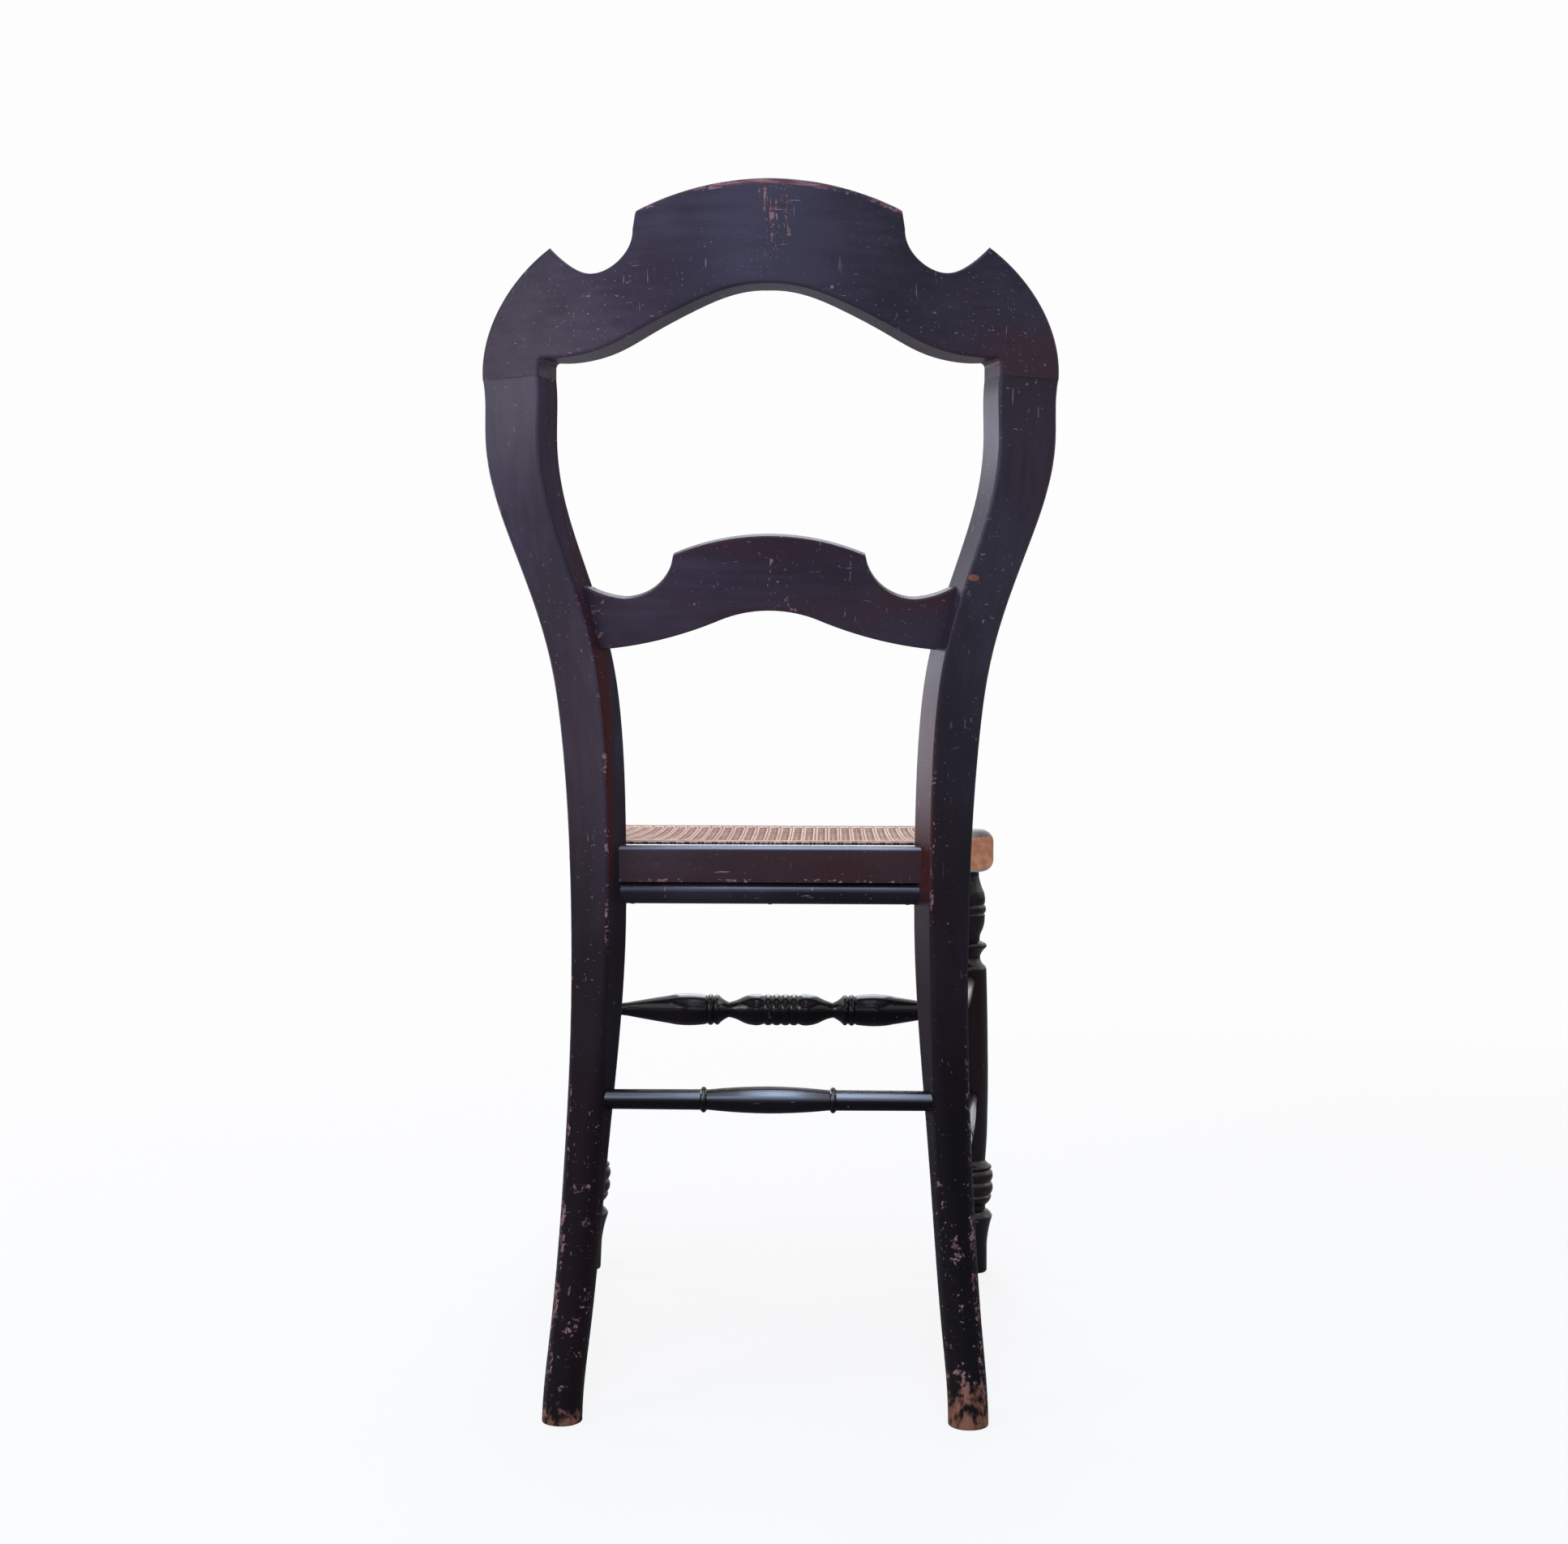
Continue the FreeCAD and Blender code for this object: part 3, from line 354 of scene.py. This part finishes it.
def black_paint(name, grain, seed, varnish, shine, brown, specks, wear=None, bare=None, gilt=None,
                rough=0.5, index=1.35):
    """Old paint with grain along one axis.

    varnish and brown are a share or a mask, and shine is how blurred the varnish is. wear makes
    chips likelier, bare gives a mask and the shade of its bare wood, and gilt gives a stencil and
    its brightness. rough belongs to the paint under the varnish, and index is the varnish's.
    """
    coat = Finish(name)
    along = stretches[grain]
    shift = (seed, seed * 0.7, seed * 1.3)

    broad = coat.cloud(7.0, 3.0, shift=shift)
    streaks = coat.cloud(150.0, 4.0, along, shift)
    brushed = coat.cloud(420.0, 2.0, along, shift)
    # Painted shade on the right side and towards the floor, and painted light high on the back,
    # over a plum-grey bloom.
    right_shade = coat.between(coat.axis("X"), right_shade_start, right_shade_full) * right_shade_depth
    bloom_and_light = coat.between(coat.axis("Z") + (broad - 0.5) * 0.25, bloom_and_light_low, bloom_and_light_high) * (1 - right_shade)
    plum = coat.blend(coat.between(broad + streaks * 0.5, 0.55, 0.95), paint_plum, paint_pale)
    colour = coat.blend(bloom_and_light, paint_deep_in_shade, plum)
    thin = coat.between(coat.cloud(13.0, 4.0, along, shift), 0.45, 0.70)
    colour = coat.blend(thin * (brown(coat) if callable(brown) else brown), colour, paint_brown)

    rubbed = coat.cloud(90.0, 4.0, shift=shift, roughness=0.62)
    broken = coat.cloud(380.0, 3.0, shift=shift)
    chips = coat.between(rubbed, 0.735, 0.75)
    if wear is not None:
        worn = rubbed + wear(coat) * 0.42 + (broken - 0.5) * 0.7
        chips = chips.most(coat.between(worn, 0.78, 0.84))
    wooden = coat.blend(coat.between(brushed, 0.4, 0.6), bare_dark, bare_brown)
    colour = coat.blend(chips, colour, wooden)

    patchy = coat.between(coat.cloud(11.0, 2.0, shift=shift), 0.42, 0.60)
    scratch_a = coat.cloud(330.0, 2.0, (1, 1, 0.11), shift, (0.1, 0.35, 0.0))
    scratch_b = coat.cloud(350.0, 2.0, (0.11, 1, 1), shift, (0.0, 0.5, 0.1))
    scratches = coat.between(scratch_a.most(scratch_b), 0.71, 0.74) * patchy
    fine = coat.specks(430.0, specks * 2.2, 0.28, shift) * (patchy * 0.8 + 0.2)
    strokes = coat.specks(210.0, specks * 3.0, 0.11, shift, strokes_along[grain]) * patchy
    coarse = coat.specks(110.0, specks * 0.25, 0.18, shift)
    colour = coat.blend(scratches * 0.38, colour, dust_grey)
    colour = coat.blend(coarse * 0.6, colour, coat.blend(patchy, bare_brown, dust_grey))
    colour = coat.blend(fine.most(strokes) * 0.30, colour, dust_grey)
    dull = rough + broad * 0.10 + chips * 0.3 + scratches * 0.2 + streaks * 0.06

    if bare is not None:
        share, shade = bare(coat)
        share = coat.between(share + (rubbed - 0.5) * 0.9 + (brushed - 0.5) * 0.4, 0.35, 0.65)
        darker = tuple(c * 0.66 for c in shade[:3]) + (1,)
        grainy = coat.blend(coat.between(streaks, 0.3, 0.7), shade, darker)
        colour = coat.blend(share, colour, grainy)
        dull = dull + share * 0.22
        chips = chips.most(share)
    if gilt is not None:
        share, glint = gilt(coat)
        share = share * (1 - coat.between(rubbed, 0.56, 0.64) * 0.8)
        colour = coat.blend(share, colour, coat.blend(glint, flat(92, 62, 32), bronze))
        dull = dull + share * 0.06

    height = brushed * 0.3 + streaks * 0.55 - chips * 0.7 - scratches * 0.4 - coarse * 0.4
    clear = coat.between(broad, 0.30, 0.62) * 0.3 + 0.7
    layer = clear * (1 - chips) * (varnish(coat) if callable(varnish) else varnish)
    coat.tree.links.new(layer.socket, coat.shader.inputs["Coat Weight"])
    return coat.finish(colour, dull, height, paint_depth, Coat_Roughness=shine, Coat_IOR=index,
                       Specular_IOR_Level=0.03)


print("paint recipe ready")

# %% [markdown]
# ## Wear and varnish of each piece
#
# Each mask is worked out from the piece's own coordinates and from which way its surface looks:
# an arris is where a rounded edge looks between its two faces. The crest wears along its top, the
# posts along their arrises and at their feet, and the right side rail along its rounded outer
# edge, which is rubbed down to tan wood. The varnish has gone from the rear legs, and on the front
# ones it is left on the shoulders of the rings.

# %% Wear of the crest and the middle rail
knocks_across = -0.004
seam_height = 0.749


def seam_wear(coat):
    """The seam of the left post and the crest, which has opened a little."""
    return coat.between(abs(coat.axis("Z") - seam_height), 0.004, 0.0006) * coat.between(
        coat.axis("X"), 0.110, 0.140)


def knocks(coat, low, high):
    """A cluster of upright scratches in the middle of a rail, between two heights."""
    x, z = coat.axis("X"), coat.axis("Z")
    ragged = (coat.cloud(55.0, 2.0) - 0.5) * 0.05
    place = coat.band(z + ragged, low, high, 0.008) * coat.between(
        abs(x - knocks_across + ragged * 0.5), 0.026, 0.002)
    lines = coat.cloud(420.0, 2.0, (1, 1, 0.10), spin=(0, 0.14, 0)).most(
        coat.cloud(400.0, 2.0, (1, 1, 0.16), spin=(0, -0.5, 0)))
    return place * coat.between(lines, 0.54, 0.64)


def slat_wear(coat):
    """Faint upright lines in the middle, and chips where the rail enters the posts."""
    ends = coat.between(abs(coat.axis("X")), 0.116, 0.126)
    return knocks(coat, 0.565, 0.622) * 0.70 + ends * 0.42


def crest_wear(coat):
    """Worn along the top's rear edge, above all in the middle, on the ears and at the seam."""
    x, z = coat.axis("X"), coat.axis("Z")
    top_edge = coat.band(coat.facing("Z"), 0.20, 0.97, 0.15) * coat.between(z, 0.850, 0.862)
    middle = coat.between(abs(x - knocks_across), 0.055, 0.012)
    ears = coat.between(z, 0.822, 0.835) * coat.between(abs(x), 0.135, 0.150) * coat.between(
        coat.facing("Z"), 0.25, 0.7)
    return (top_edge * (middle * 0.7 + 0.64) + seam_wear(coat) * 0.5 + ears * 0.45
            + knocks(coat, 0.850, 0.884) * 0.98)


def crest_brown(coat):
    """Red-brown wood glows through near the worn middle and on the right shoulder."""
    x, z = coat.axis("X"), coat.axis("Z")
    middle = coat.between(z, 0.835, 0.878) * coat.between(abs(x - knocks_across), 0.06, 0.01)
    shoulder = coat.between(x, -0.10, -0.19)
    return middle * 0.5 + shoulder * 0.35 + 0.18


# %% Wear of the posts
leg_top = 0.36
chip_across, chip_height = -0.149, 0.605


def post_wear(side):
    """Chips at the seam, along the rear inner arris, where the rails join and down the leg."""
    def wear(coat):
        z, rearward = coat.axis("Z"), coat.facing("Y")
        inward = coat.facing("X") * -side
        inner_arris = coat.band(inward, -0.15, 0.70, 0.12) * coat.between(rearward, 0.3, 0.6)
        near_seat = coat.band(z, 0.340, 0.475, 0.02)
        near_slat = coat.band(z, 0.545, 0.600, 0.02)
        outer_arris = coat.band(inward, -0.93, -0.62, 0.06) * coat.between(rearward, 0.05, 0.3)
        leg = coat.between(z, leg_top, 0.30)
        low = coat.between(z, 0.34, 0.02)
        return (seam_wear(coat) * 0.6
                + inner_arris * (near_seat * 0.36 + near_slat * 0.30 + 0.14)
                + outer_arris * leg * 0.36 + low * 0.26)
    return wear


def post_brown(side):
    """The inner face is browner than the rest, most of all just above the seat."""
    def brown(coat):
        z = coat.axis("Z")
        inner = coat.between(coat.facing("X") * -side, 0.2, 0.7)
        above_leg = coat.between(z, leg_top, 0.41)
        above_seat = coat.between(z, 0.60, 0.44) * above_leg
        return inner * (above_seat * 3.4 + above_leg * 0.4) + coat.between(
            z, 0.20, 0.50) * 0.18 + 0.10
    return brown


def post_bare(coat):
    """Feet speckled with bare wood, more so on the right, and one chip high on the right post."""
    x, z = coat.axis("X"), coat.axis("Z")
    right_side = coat.between(x, 0.02, -0.02)
    share = coat.between(z, 0.050 + right_side * 0.020, -0.010) * (right_side * 0.12 + 0.50)
    beside, above = x - chip_across, (z - chip_height) * 1.6
    chip = coat.between((beside * beside + above * above) ** 0.5, 0.006, 0.002)
    speckled = (coat.cloud(260.0, 3.0) - 0.5) * coat.between(z, 0.075, 0.03) * 0.5
    return share + speckled + chip * coat.between(coat.facing("Y"), 0.1, 0.3), flat(134, 90, 70)


def post_varnish(side, inner_share):
    """Varnish is left on the upper part of a post, and gone from its leg."""
    def varnish(coat):
        upper = coat.between(coat.axis("Z"), 0.30, 0.52)
        inner = coat.between(coat.facing("X") * -side, 0.3, 0.7)
        return upper * (1 - inner + inner * inner_share) * 0.6 + 0.02
    return varnish


def top_varnish(coat):
    """On the rungs varnish is left on what looks up, and gone from the dark underside."""
    return coat.between(coat.facing("Z"), -0.08, 0.42)


def rail_varnish(coat):
    """Much varnish on the rounded top edge of the rear rail, and little on its face."""
    return coat.between(coat.facing("Z"), 0.10, 0.45) * 0.75 + 0.25


def ring_varnish(coat):
    """On the front legs varnish is left on the shoulders of the rings."""
    return coat.between(coat.facing("Z"), 0.05, 0.50) * 0.7 + 0.12


# %% Wear of the seat frame
def rail_wear(coat):
    """Light rubbing on the upper and lower edges of the rear and the front rail."""
    z = coat.axis("Z")
    lower = coat.band(z, 0.3795, 0.3822, 0.0012)
    upper = coat.band(z, 0.4015, 0.4045, 0.0015)
    return lower * 0.46 + upper * 0.22


def side_wear(coat):
    """Light rubbing of a side rail's rounded edge."""
    return coat.band(abs(coat.facing("Z")), 0.35, 0.85, 0.1) * 0.25


def side_rail_bare(coat):
    """The right rail's rounded outer edge, rubbed down to tan wood by years of hands."""
    outward = coat.between(coat.facing("X"), -0.30, -0.60)
    z = coat.axis("Z")
    below_top = coat.between(z, 0.4045, 0.4000)
    above_low = coat.between(z, 0.3715, 0.3750)
    return outward * below_top * above_low, flat(214, 148, 112)


def front_rail_bare(coat):
    """A little rubbing on the front edge, where knees and hands pass."""
    y, z = coat.axis("Y"), coat.axis("Z")
    return coat.between(y, -0.236, -0.250) * coat.between(z, 0.404, 0.396) * coat.between(
        z, 0.376, 0.388) * 0.28, flat(160, 112, 88)


print("wear is placed on the back, the feet and the rails")

# %% [markdown]
# ## Bronze stencilling
#
# Such a chair gets its name from bronze powders dusted through cut stencils onto tacky varnish,
# on the faces that look forward. The spray here is a plain traditional one: a round flower in
# the middle with pairs of leaves. A leaf is bright at its rim and fades to its vein.

# %% Leaves and a flower
petal_waves, petal_depth = 8.0, 0.16


def leaf(across, level, centre, tilt, length, width):
    """A pointed leaf: how far inside it a point is, from 0 at its edge to 1 on its vein."""
    cosine, sine = math.cos(tilt), math.sin(tilt)
    u = (across - centre[0]) * cosine + (level - centre[1]) * sine
    v = (level - centre[1]) * cosine - (across - centre[0]) * sine
    reach = 1 - (u / length) ** 2.0
    return reach.most(0.0) - abs(v) / width


def spray(leaves, flower_height, flower_radius):
    """A stencil of paired leaves round a flower, on faces that look forward."""
    def gilt(coat):
        across = abs(coat.axis("X"))
        level = coat.axis("Z")
        front = coat.between(coat.facing("Y"), -0.55, -0.8)
        inside = None
        for centre, tilt, length, width in leaves:
            one = leaf(across, level, centre, tilt, length, width)
            inside = one if inside is None else inside.most(one)
        along = level - flower_height
        far = (across * across + along * along) ** 0.5
        waves = along.sum("ARCTAN2", along, across) * petal_waves
        petal = waves.sum("COSINE", waves) * petal_depth + (1 - petal_depth)
        flower = 1 - far / (petal * flower_radius)
        inside = inside.most(flower)
        shape = coat.between(inside, 0.0, 0.05)
        glint = coat.between(inside, 0.75, 0.05)
        core = coat.between(far, flower_radius * 0.30, flower_radius * 0.24)
        return shape * front, glint.most(core)
    return gilt


# A leaf is written as its middle, across and up, then its tilt, half its length and half its
# width. On the other side of the chair's middle line each has its twin.
crest_spray = spray(
    [((0.030, 0.8360), 0.55, 0.017, 0.0062), ((0.034, 0.8250), -0.25, 0.018, 0.0066),
     ((0.056, 0.8330), 0.30, 0.016, 0.0060), ((0.060, 0.8190), -0.45, 0.017, 0.0062),
     ((0.083, 0.8170), -0.15, 0.015, 0.0055), ((0.106, 0.8000), -0.60, 0.018, 0.0060),
     ((0.124, 0.7880), -0.75, 0.016, 0.0055), ((0.012, 0.8560), 1.15, 0.012, 0.0050)],
    0.8360, 0.0150)
slat_spray = spray(
    [((0.026, 0.6130), 0.15, 0.015, 0.0055), ((0.050, 0.6070), -0.25, 0.015, 0.0054),
     ((0.074, 0.5960), -0.50, 0.014, 0.0048), ((0.098, 0.5800), -0.50, 0.014, 0.0048)],
    0.6150, 0.0100)


def stripes(levels, width):
    """Thin lines round the front half of a turned or sawn piece, at given heights."""
    def gilt(coat):
        level = coat.axis("Z")
        front = coat.between(coat.facing("Y"), -0.05, -0.35)
        line = None
        for height in levels:
            one = coat.between(abs(level - height), width, width * 0.7)
            line = one if line is None else line.most(one)
        return line * front, line
    return gilt


print("stencils: crest and middle rail")

# %% Put the finishes on
def dress(name, material):
    """Give one wooden part its finish."""
    wood[name].data.materials.clear()
    wood[name].data.materials.append(material)


coats = {
    "crest_rail": black_paint("paint_crest", "X", 1.7, 0.36, 0.36, crest_brown, 0.16, crest_wear,
                              gilt=crest_spray),
    "mid_rail": black_paint("paint_middle_rail", "X", 4.1, 0.3, 0.36, 0.6, 0.12, slat_wear,
                            gilt=slat_spray),
    "rear_post_left": black_paint("paint_post_left", "Z", 7.3, post_varnish(1, 0.0), 0.36,
                                  post_brown(1), 0.07, post_wear(1), post_bare),
    "rear_post_right": black_paint("paint_post_right", "Z", 9.9, post_varnish(-1, 1.0), 0.30,
                                   post_brown(-1), 0.08, post_wear(-1), post_bare),
    "seat_rail_rear": black_paint("paint_rear_rail", "X", 12.2, rail_varnish, 0.16, 0.5, 0.14,
                                  rail_wear, index=1.7),
    "seat_rail_front": black_paint("paint_front_rail", "X", 15.0, 0.8, 0.22, 0.4, 0.08, rail_wear,
                                   front_rail_bare, stripes([0.379, 0.399], 0.0006)),
    "rear_bead": black_paint("paint_bead", "X", 21.0, top_varnish, 0.15, 0.1, 0.03, rough=0.4),
    "front_stretcher": black_paint("paint_front_stretcher", "X", 23.5, top_varnish, 0.14, 0.1,
                                   0.03, rough=0.4, index=1.5),
    "rear_stretcher": black_paint("paint_rear_stretcher", "X", 26.1, top_varnish, 0.18, 0.1,
                                  0.04, rough=0.4, index=1.7),
    "seat_rail_right": black_paint("paint_right_rail", "Y", 18.4, 0.8, 0.22, 0.4, 0.08, side_wear,
                                   side_rail_bare),
    "seat_rail_left": black_paint("paint_left_rail", "Y", 17.2, 0.8, 0.22, 0.4, 0.08, side_wear),
}
leg_coat = black_paint("paint_front_legs", "Z", 29.7, ring_varnish, 0.16, 0.15, 0.05,
                       gilt=stripes([0.0714, 0.0833, 0.3290, 0.3390], 0.0011), rough=0.4,
                       index=1.5)
rung_coat = black_paint("paint_side_stretchers", "Y", 31.2, top_varnish, 0.18, 0.2, 0.05,
                        rough=0.4)
for name in wood:
    if name in coats:
        dress(name, coats[name])
    elif name.startswith("front_leg"):
        dress(name, leg_coat)
    elif name.startswith("side_stretcher"):
        dress(name, rung_coat)
print("painted pieces:", sum(1 for name in wood if wood[name].data.materials))

# %% [markdown]
# ## Dowels, pegs and brads
#
# These hardly show, but they have materials of their own: pale turned hardwood, and dark iron with
# a little rust.

# %% Bare wood and iron
dowel = Finish("dowel_wood")
rings = dowel.cloud(260.0, 3.0, (1, 1, 0.1))
dowel.finish(dowel.blend(rings, flat(150, 112, 78), flat(198, 158, 116)), 0.6 + rings * 0.2,
             rings, 0.0002)
iron = Finish("dark_iron")
rust = iron.cloud(500.0, 4.0)
iron.finish(iron.blend(iron.between(rust, 0.4, 0.7), flat(30, 28, 31), flat(74, 48, 38)),
            0.45 + rust * 0.3, rust, 0.0001, Metallic=0.7)
for name in ("cane_pegs", "crest_dowels", "seat_frame_dowels"):
    dress(name, dowel.material)
dress("bead_brads", iron.material)
print("small parts finished")

# %% [markdown]
# ## Weaving the seat
#
# A hand-caned seat has six sets of strands: two lengthwise, two crosswise and one along each
# diagonal. Each strand is the smooth outer bark of rattan, a ribbon about two millimetres wide
# with a crowned top, highest along its middle. The ribbons could be curves with
# a bevel, but a grid for each ribbon is lighter and can be waved by a rule. The sets are made flat
# and square at the pitch of the drilled holes, turned, trimmed at the line of the holes, where the
# binder covers their ends, and hung in a shallow dish as an old seat hangs.

# %% Sizes of the seat and the strand
seat_top = 0.408
rear_line, front_line = 0.1330, -0.2180
rear_half, front_half = 0.11632, 0.15180
middle_y = (rear_line + front_line) / 2
half_run = (rear_line - front_line) / 2
pitch = 0.0106
pair_gap = 0.0024
strand_width, strand_thick = 0.0020, 0.00042
strand_columns = 4
crown_side, crown_top = 0.00026, 0.00032
stray = 0.00016
weave_level = seat_top + 0.00060
sag = 0.0075
mat_reach = 0.26
steps_per_pitch = 5


def ribbons(middles, level_of):
    """Parallel ribbons along Y, one grid for each middle, waved by a rule and crowned."""
    mat = bmesh.new()
    steps = round(2 * mat_reach / pitch * steps_per_pitch)
    for number, middle in enumerate(middles):
        before = set(mat.verts)
        bmesh.ops.create_grid(mat, x_segments=strand_columns, y_segments=steps, size=0.5)
        fresh = [v for v in mat.verts if v not in before]
        bmesh.ops.scale(mat, vec=(strand_width, 2 * mat_reach, 1), verts=fresh)
        for vert in fresh:
            off = abs(vert.co.x) / strand_width
            crown = crown_top if off < 0.1 else crown_side if off < 0.4 else 0
            vert.co.z = level_of(number, vert.co.y) + crown
        wander = random.uniform(-stray, stray)
        bmesh.ops.translate(mat, vec=(middle + wander, 0, 0), verts=fresh)
    return mat


def dished(x, y):
    """How far the seat hangs below its edge."""
    along = (y - middle_y) / half_run
    half = rear_half + (front_half - rear_half) * (1 - along) / 2
    return sag * max(0, 1 - (x / half) ** 2) * max(0, 1 - along ** 2)


def trimmed(mat, turn_angle):
    """Turn the ribbons, cut them at the four lines of holes, hang them and thicken them."""
    bmesh.ops.rotate(mat, cent=(0, 0, 0), matrix=Matrix.Rotation(turn_angle, 3, "Z"),
                     verts=mat.verts)
    bmesh.ops.translate(mat, vec=(0, middle_y, weave_level), verts=mat.verts)
    side = Vector((rear_line - front_line, front_half - rear_half, 0)).normalized()
    cuts = (
        ((0, rear_line, 0), (0, 1, 0)),
        ((0, front_line, 0), (0, -1, 0)),
        ((front_half, front_line, 0), side),
        ((-front_half, front_line, 0), (-side.x, side.y, 0)))
    for spot, outward in cuts:
        bmesh.ops.bisect_plane(mat, geom=mat.verts[:] + mat.edges[:] + mat.faces[:],
                               plane_co=spot, plane_no=outward, clear_outer=True)
    for vert in mat.verts:
        vert.co.z -= dished(vert.co.x, vert.co.y)
    bmesh.ops.recalc_face_normals(mat, faces=mat.faces)
    for face in mat.faces:
        if face.normal.z < 0:
            face.normal_flip()
    bmesh.ops.solidify(mat, geom=mat.faces[:], thickness=strand_thick)
    return mat


def piece_of(mat, name, material):
    """A finished piece from a bmesh, riding on the chair."""
    mesh = bpy.data.meshes.new(name)
    mat.to_mesh(mesh)
    mat.free()
    mesh.materials.append(material)
    made = bpy.data.objects.new(name, mesh)
    bpy.context.scene.collection.objects.link(made)
    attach(made, "root")
    print(name, "has", sum(len(face.vertices) - 2 for face in mesh.polygons), "triangles")
    return made


print("pitch of the weave in mm:", pitch * 1000)

# %% [markdown]
# The cane's bark is pale and worn matt. Every face of a strand that doesn't look up is painted
# brown, partly as the colour of its split sides and partly as painted shade. Seen low across the
# seat, the tops of the lengthwise strands draw pale lines, with these brown sides of the other
# sets between them. Long fibres run along each strand, and age has browned the seat in patches.

# %% Cane finish
def cane_finish(name, stretch, gloss=0.0, split_and_shade_share=0.9):
    """Pale bark on top, and brown split colour with painted shade on faces that don't look up;
    stretch runs the fibres along it.

    gloss is how much the bark mirrors, and split_and_shade_share how brown the sides are, split
    colour and painted shade alike.
    """
    cane = Finish(name)
    fibres = cane.cloud(900.0, 2.0, stretch)
    patches = cane.cloud(9.0, 3.0)
    aged = cane.cloud(38.0, 2.0, stretch)
    colour = cane.blend(cane.between(fibres * 0.5 + aged * 0.5, 0.35, 0.65), flat(209, 168, 141),
                        flat(241, 208, 183))
    colour = cane.blend(cane.between(patches, 0.45, 0.75) * 0.4, colour, flat(184, 136, 106))
    # Split colour and painted shade: faces that don't look up are painted brown.
    split_and_shaded = cane.between(abs(cane.facing("Z")), 0.94, 0.82)
    colour = cane.blend(split_and_shaded * split_and_shade_share, colour, flat(122, 74, 60))
    return cane.finish(colour, 0.42 + fibres * 0.2 + split_and_shaded * 0.3, fibres, 0.00015,
                       Specular_IOR_Level=gloss)


lengthwise_cane = cane_finish("cane_lengthwise", (1, 0.05, 1), 0.04)
crosswise_cane = cane_finish("cane_crosswise", (0.05, 1, 1))
diagonal_cane = cane_finish("cane_diagonal", (0.5, 0.5, 1))
print("cane finishes ready")

# %% Lengthwise and crosswise strands
lift = 0.00040
lengthwise_lift, lengthwise_rise = 0.00026, 0.00045
around = 2 * math.pi / pitch
lengthwise_count, crosswise_count = 14, 16


def pairs(count):
    """Middles of the strands of a set of pairs, one pair at every hole and count on each side."""
    return [number * pitch + side * pair_gap / 2
            for number in range(-count, count + 1) for side in (-1, 1)]


def lengthwise_level(number, along):
    """Each strand of a pair rises over one crosswise strand and dips under the other."""
    side = 1 if number % 2 else -1
    return lengthwise_rise + lengthwise_lift * side * math.sin(around * along)


def crosswise_level(number, along):
    """The same the other way round, so the two pairs are woven through each other."""
    side = 1 if number % 2 else -1
    return lift * side * math.sin(around * along)


lengthwise = piece_of(trimmed(ribbons(pairs(lengthwise_count), lengthwise_level), 0),
                      "cane_lengthwise", lengthwise_cane)
crosswise = piece_of(trimmed(ribbons(pairs(crosswise_count), crosswise_level), math.pi / 2),
                     "cane_crosswise", crosswise_cane)

# %% Diagonal strands
diagonal_step = pitch / math.sqrt(2)
diagonal_count = 32
diagonal_lift, diagonal_drop = lift * 0.6, 0.0001


def diagonal_middles(count):
    """A single strand through every crossing of two pairs."""
    return [number * diagonal_step for number in range(-count, count + 1)]


def over_and_under(sign):
    """Rises over one kind of pair and dips under the other, turn by turn."""
    def level(number, along):
        phase = math.pi * along / diagonal_step + math.pi * number
        return diagonal_lift * sign * math.cos(phase) - diagonal_drop
    return level


def diagonal_set(name, sign):
    """One of the two sets, turned an eighth of a circle to one side."""
    strands = ribbons(diagonal_middles(diagonal_count), over_and_under(sign))
    return piece_of(trimmed(strands, sign * math.pi / 4), name, diagonal_cane)


first_diagonal = diagonal_set("cane_diagonal_one", 1)
second_diagonal = diagonal_set("cane_diagonal_two", -1)
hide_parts("cane_panel")

# %% Binder
binder_cane = cane_finish("cane_binder_strip", (0.3, 0.3, 1), 0.1, 0.0)
dress("cane_binder", binder_cane)
print("binder covers the line of holes")
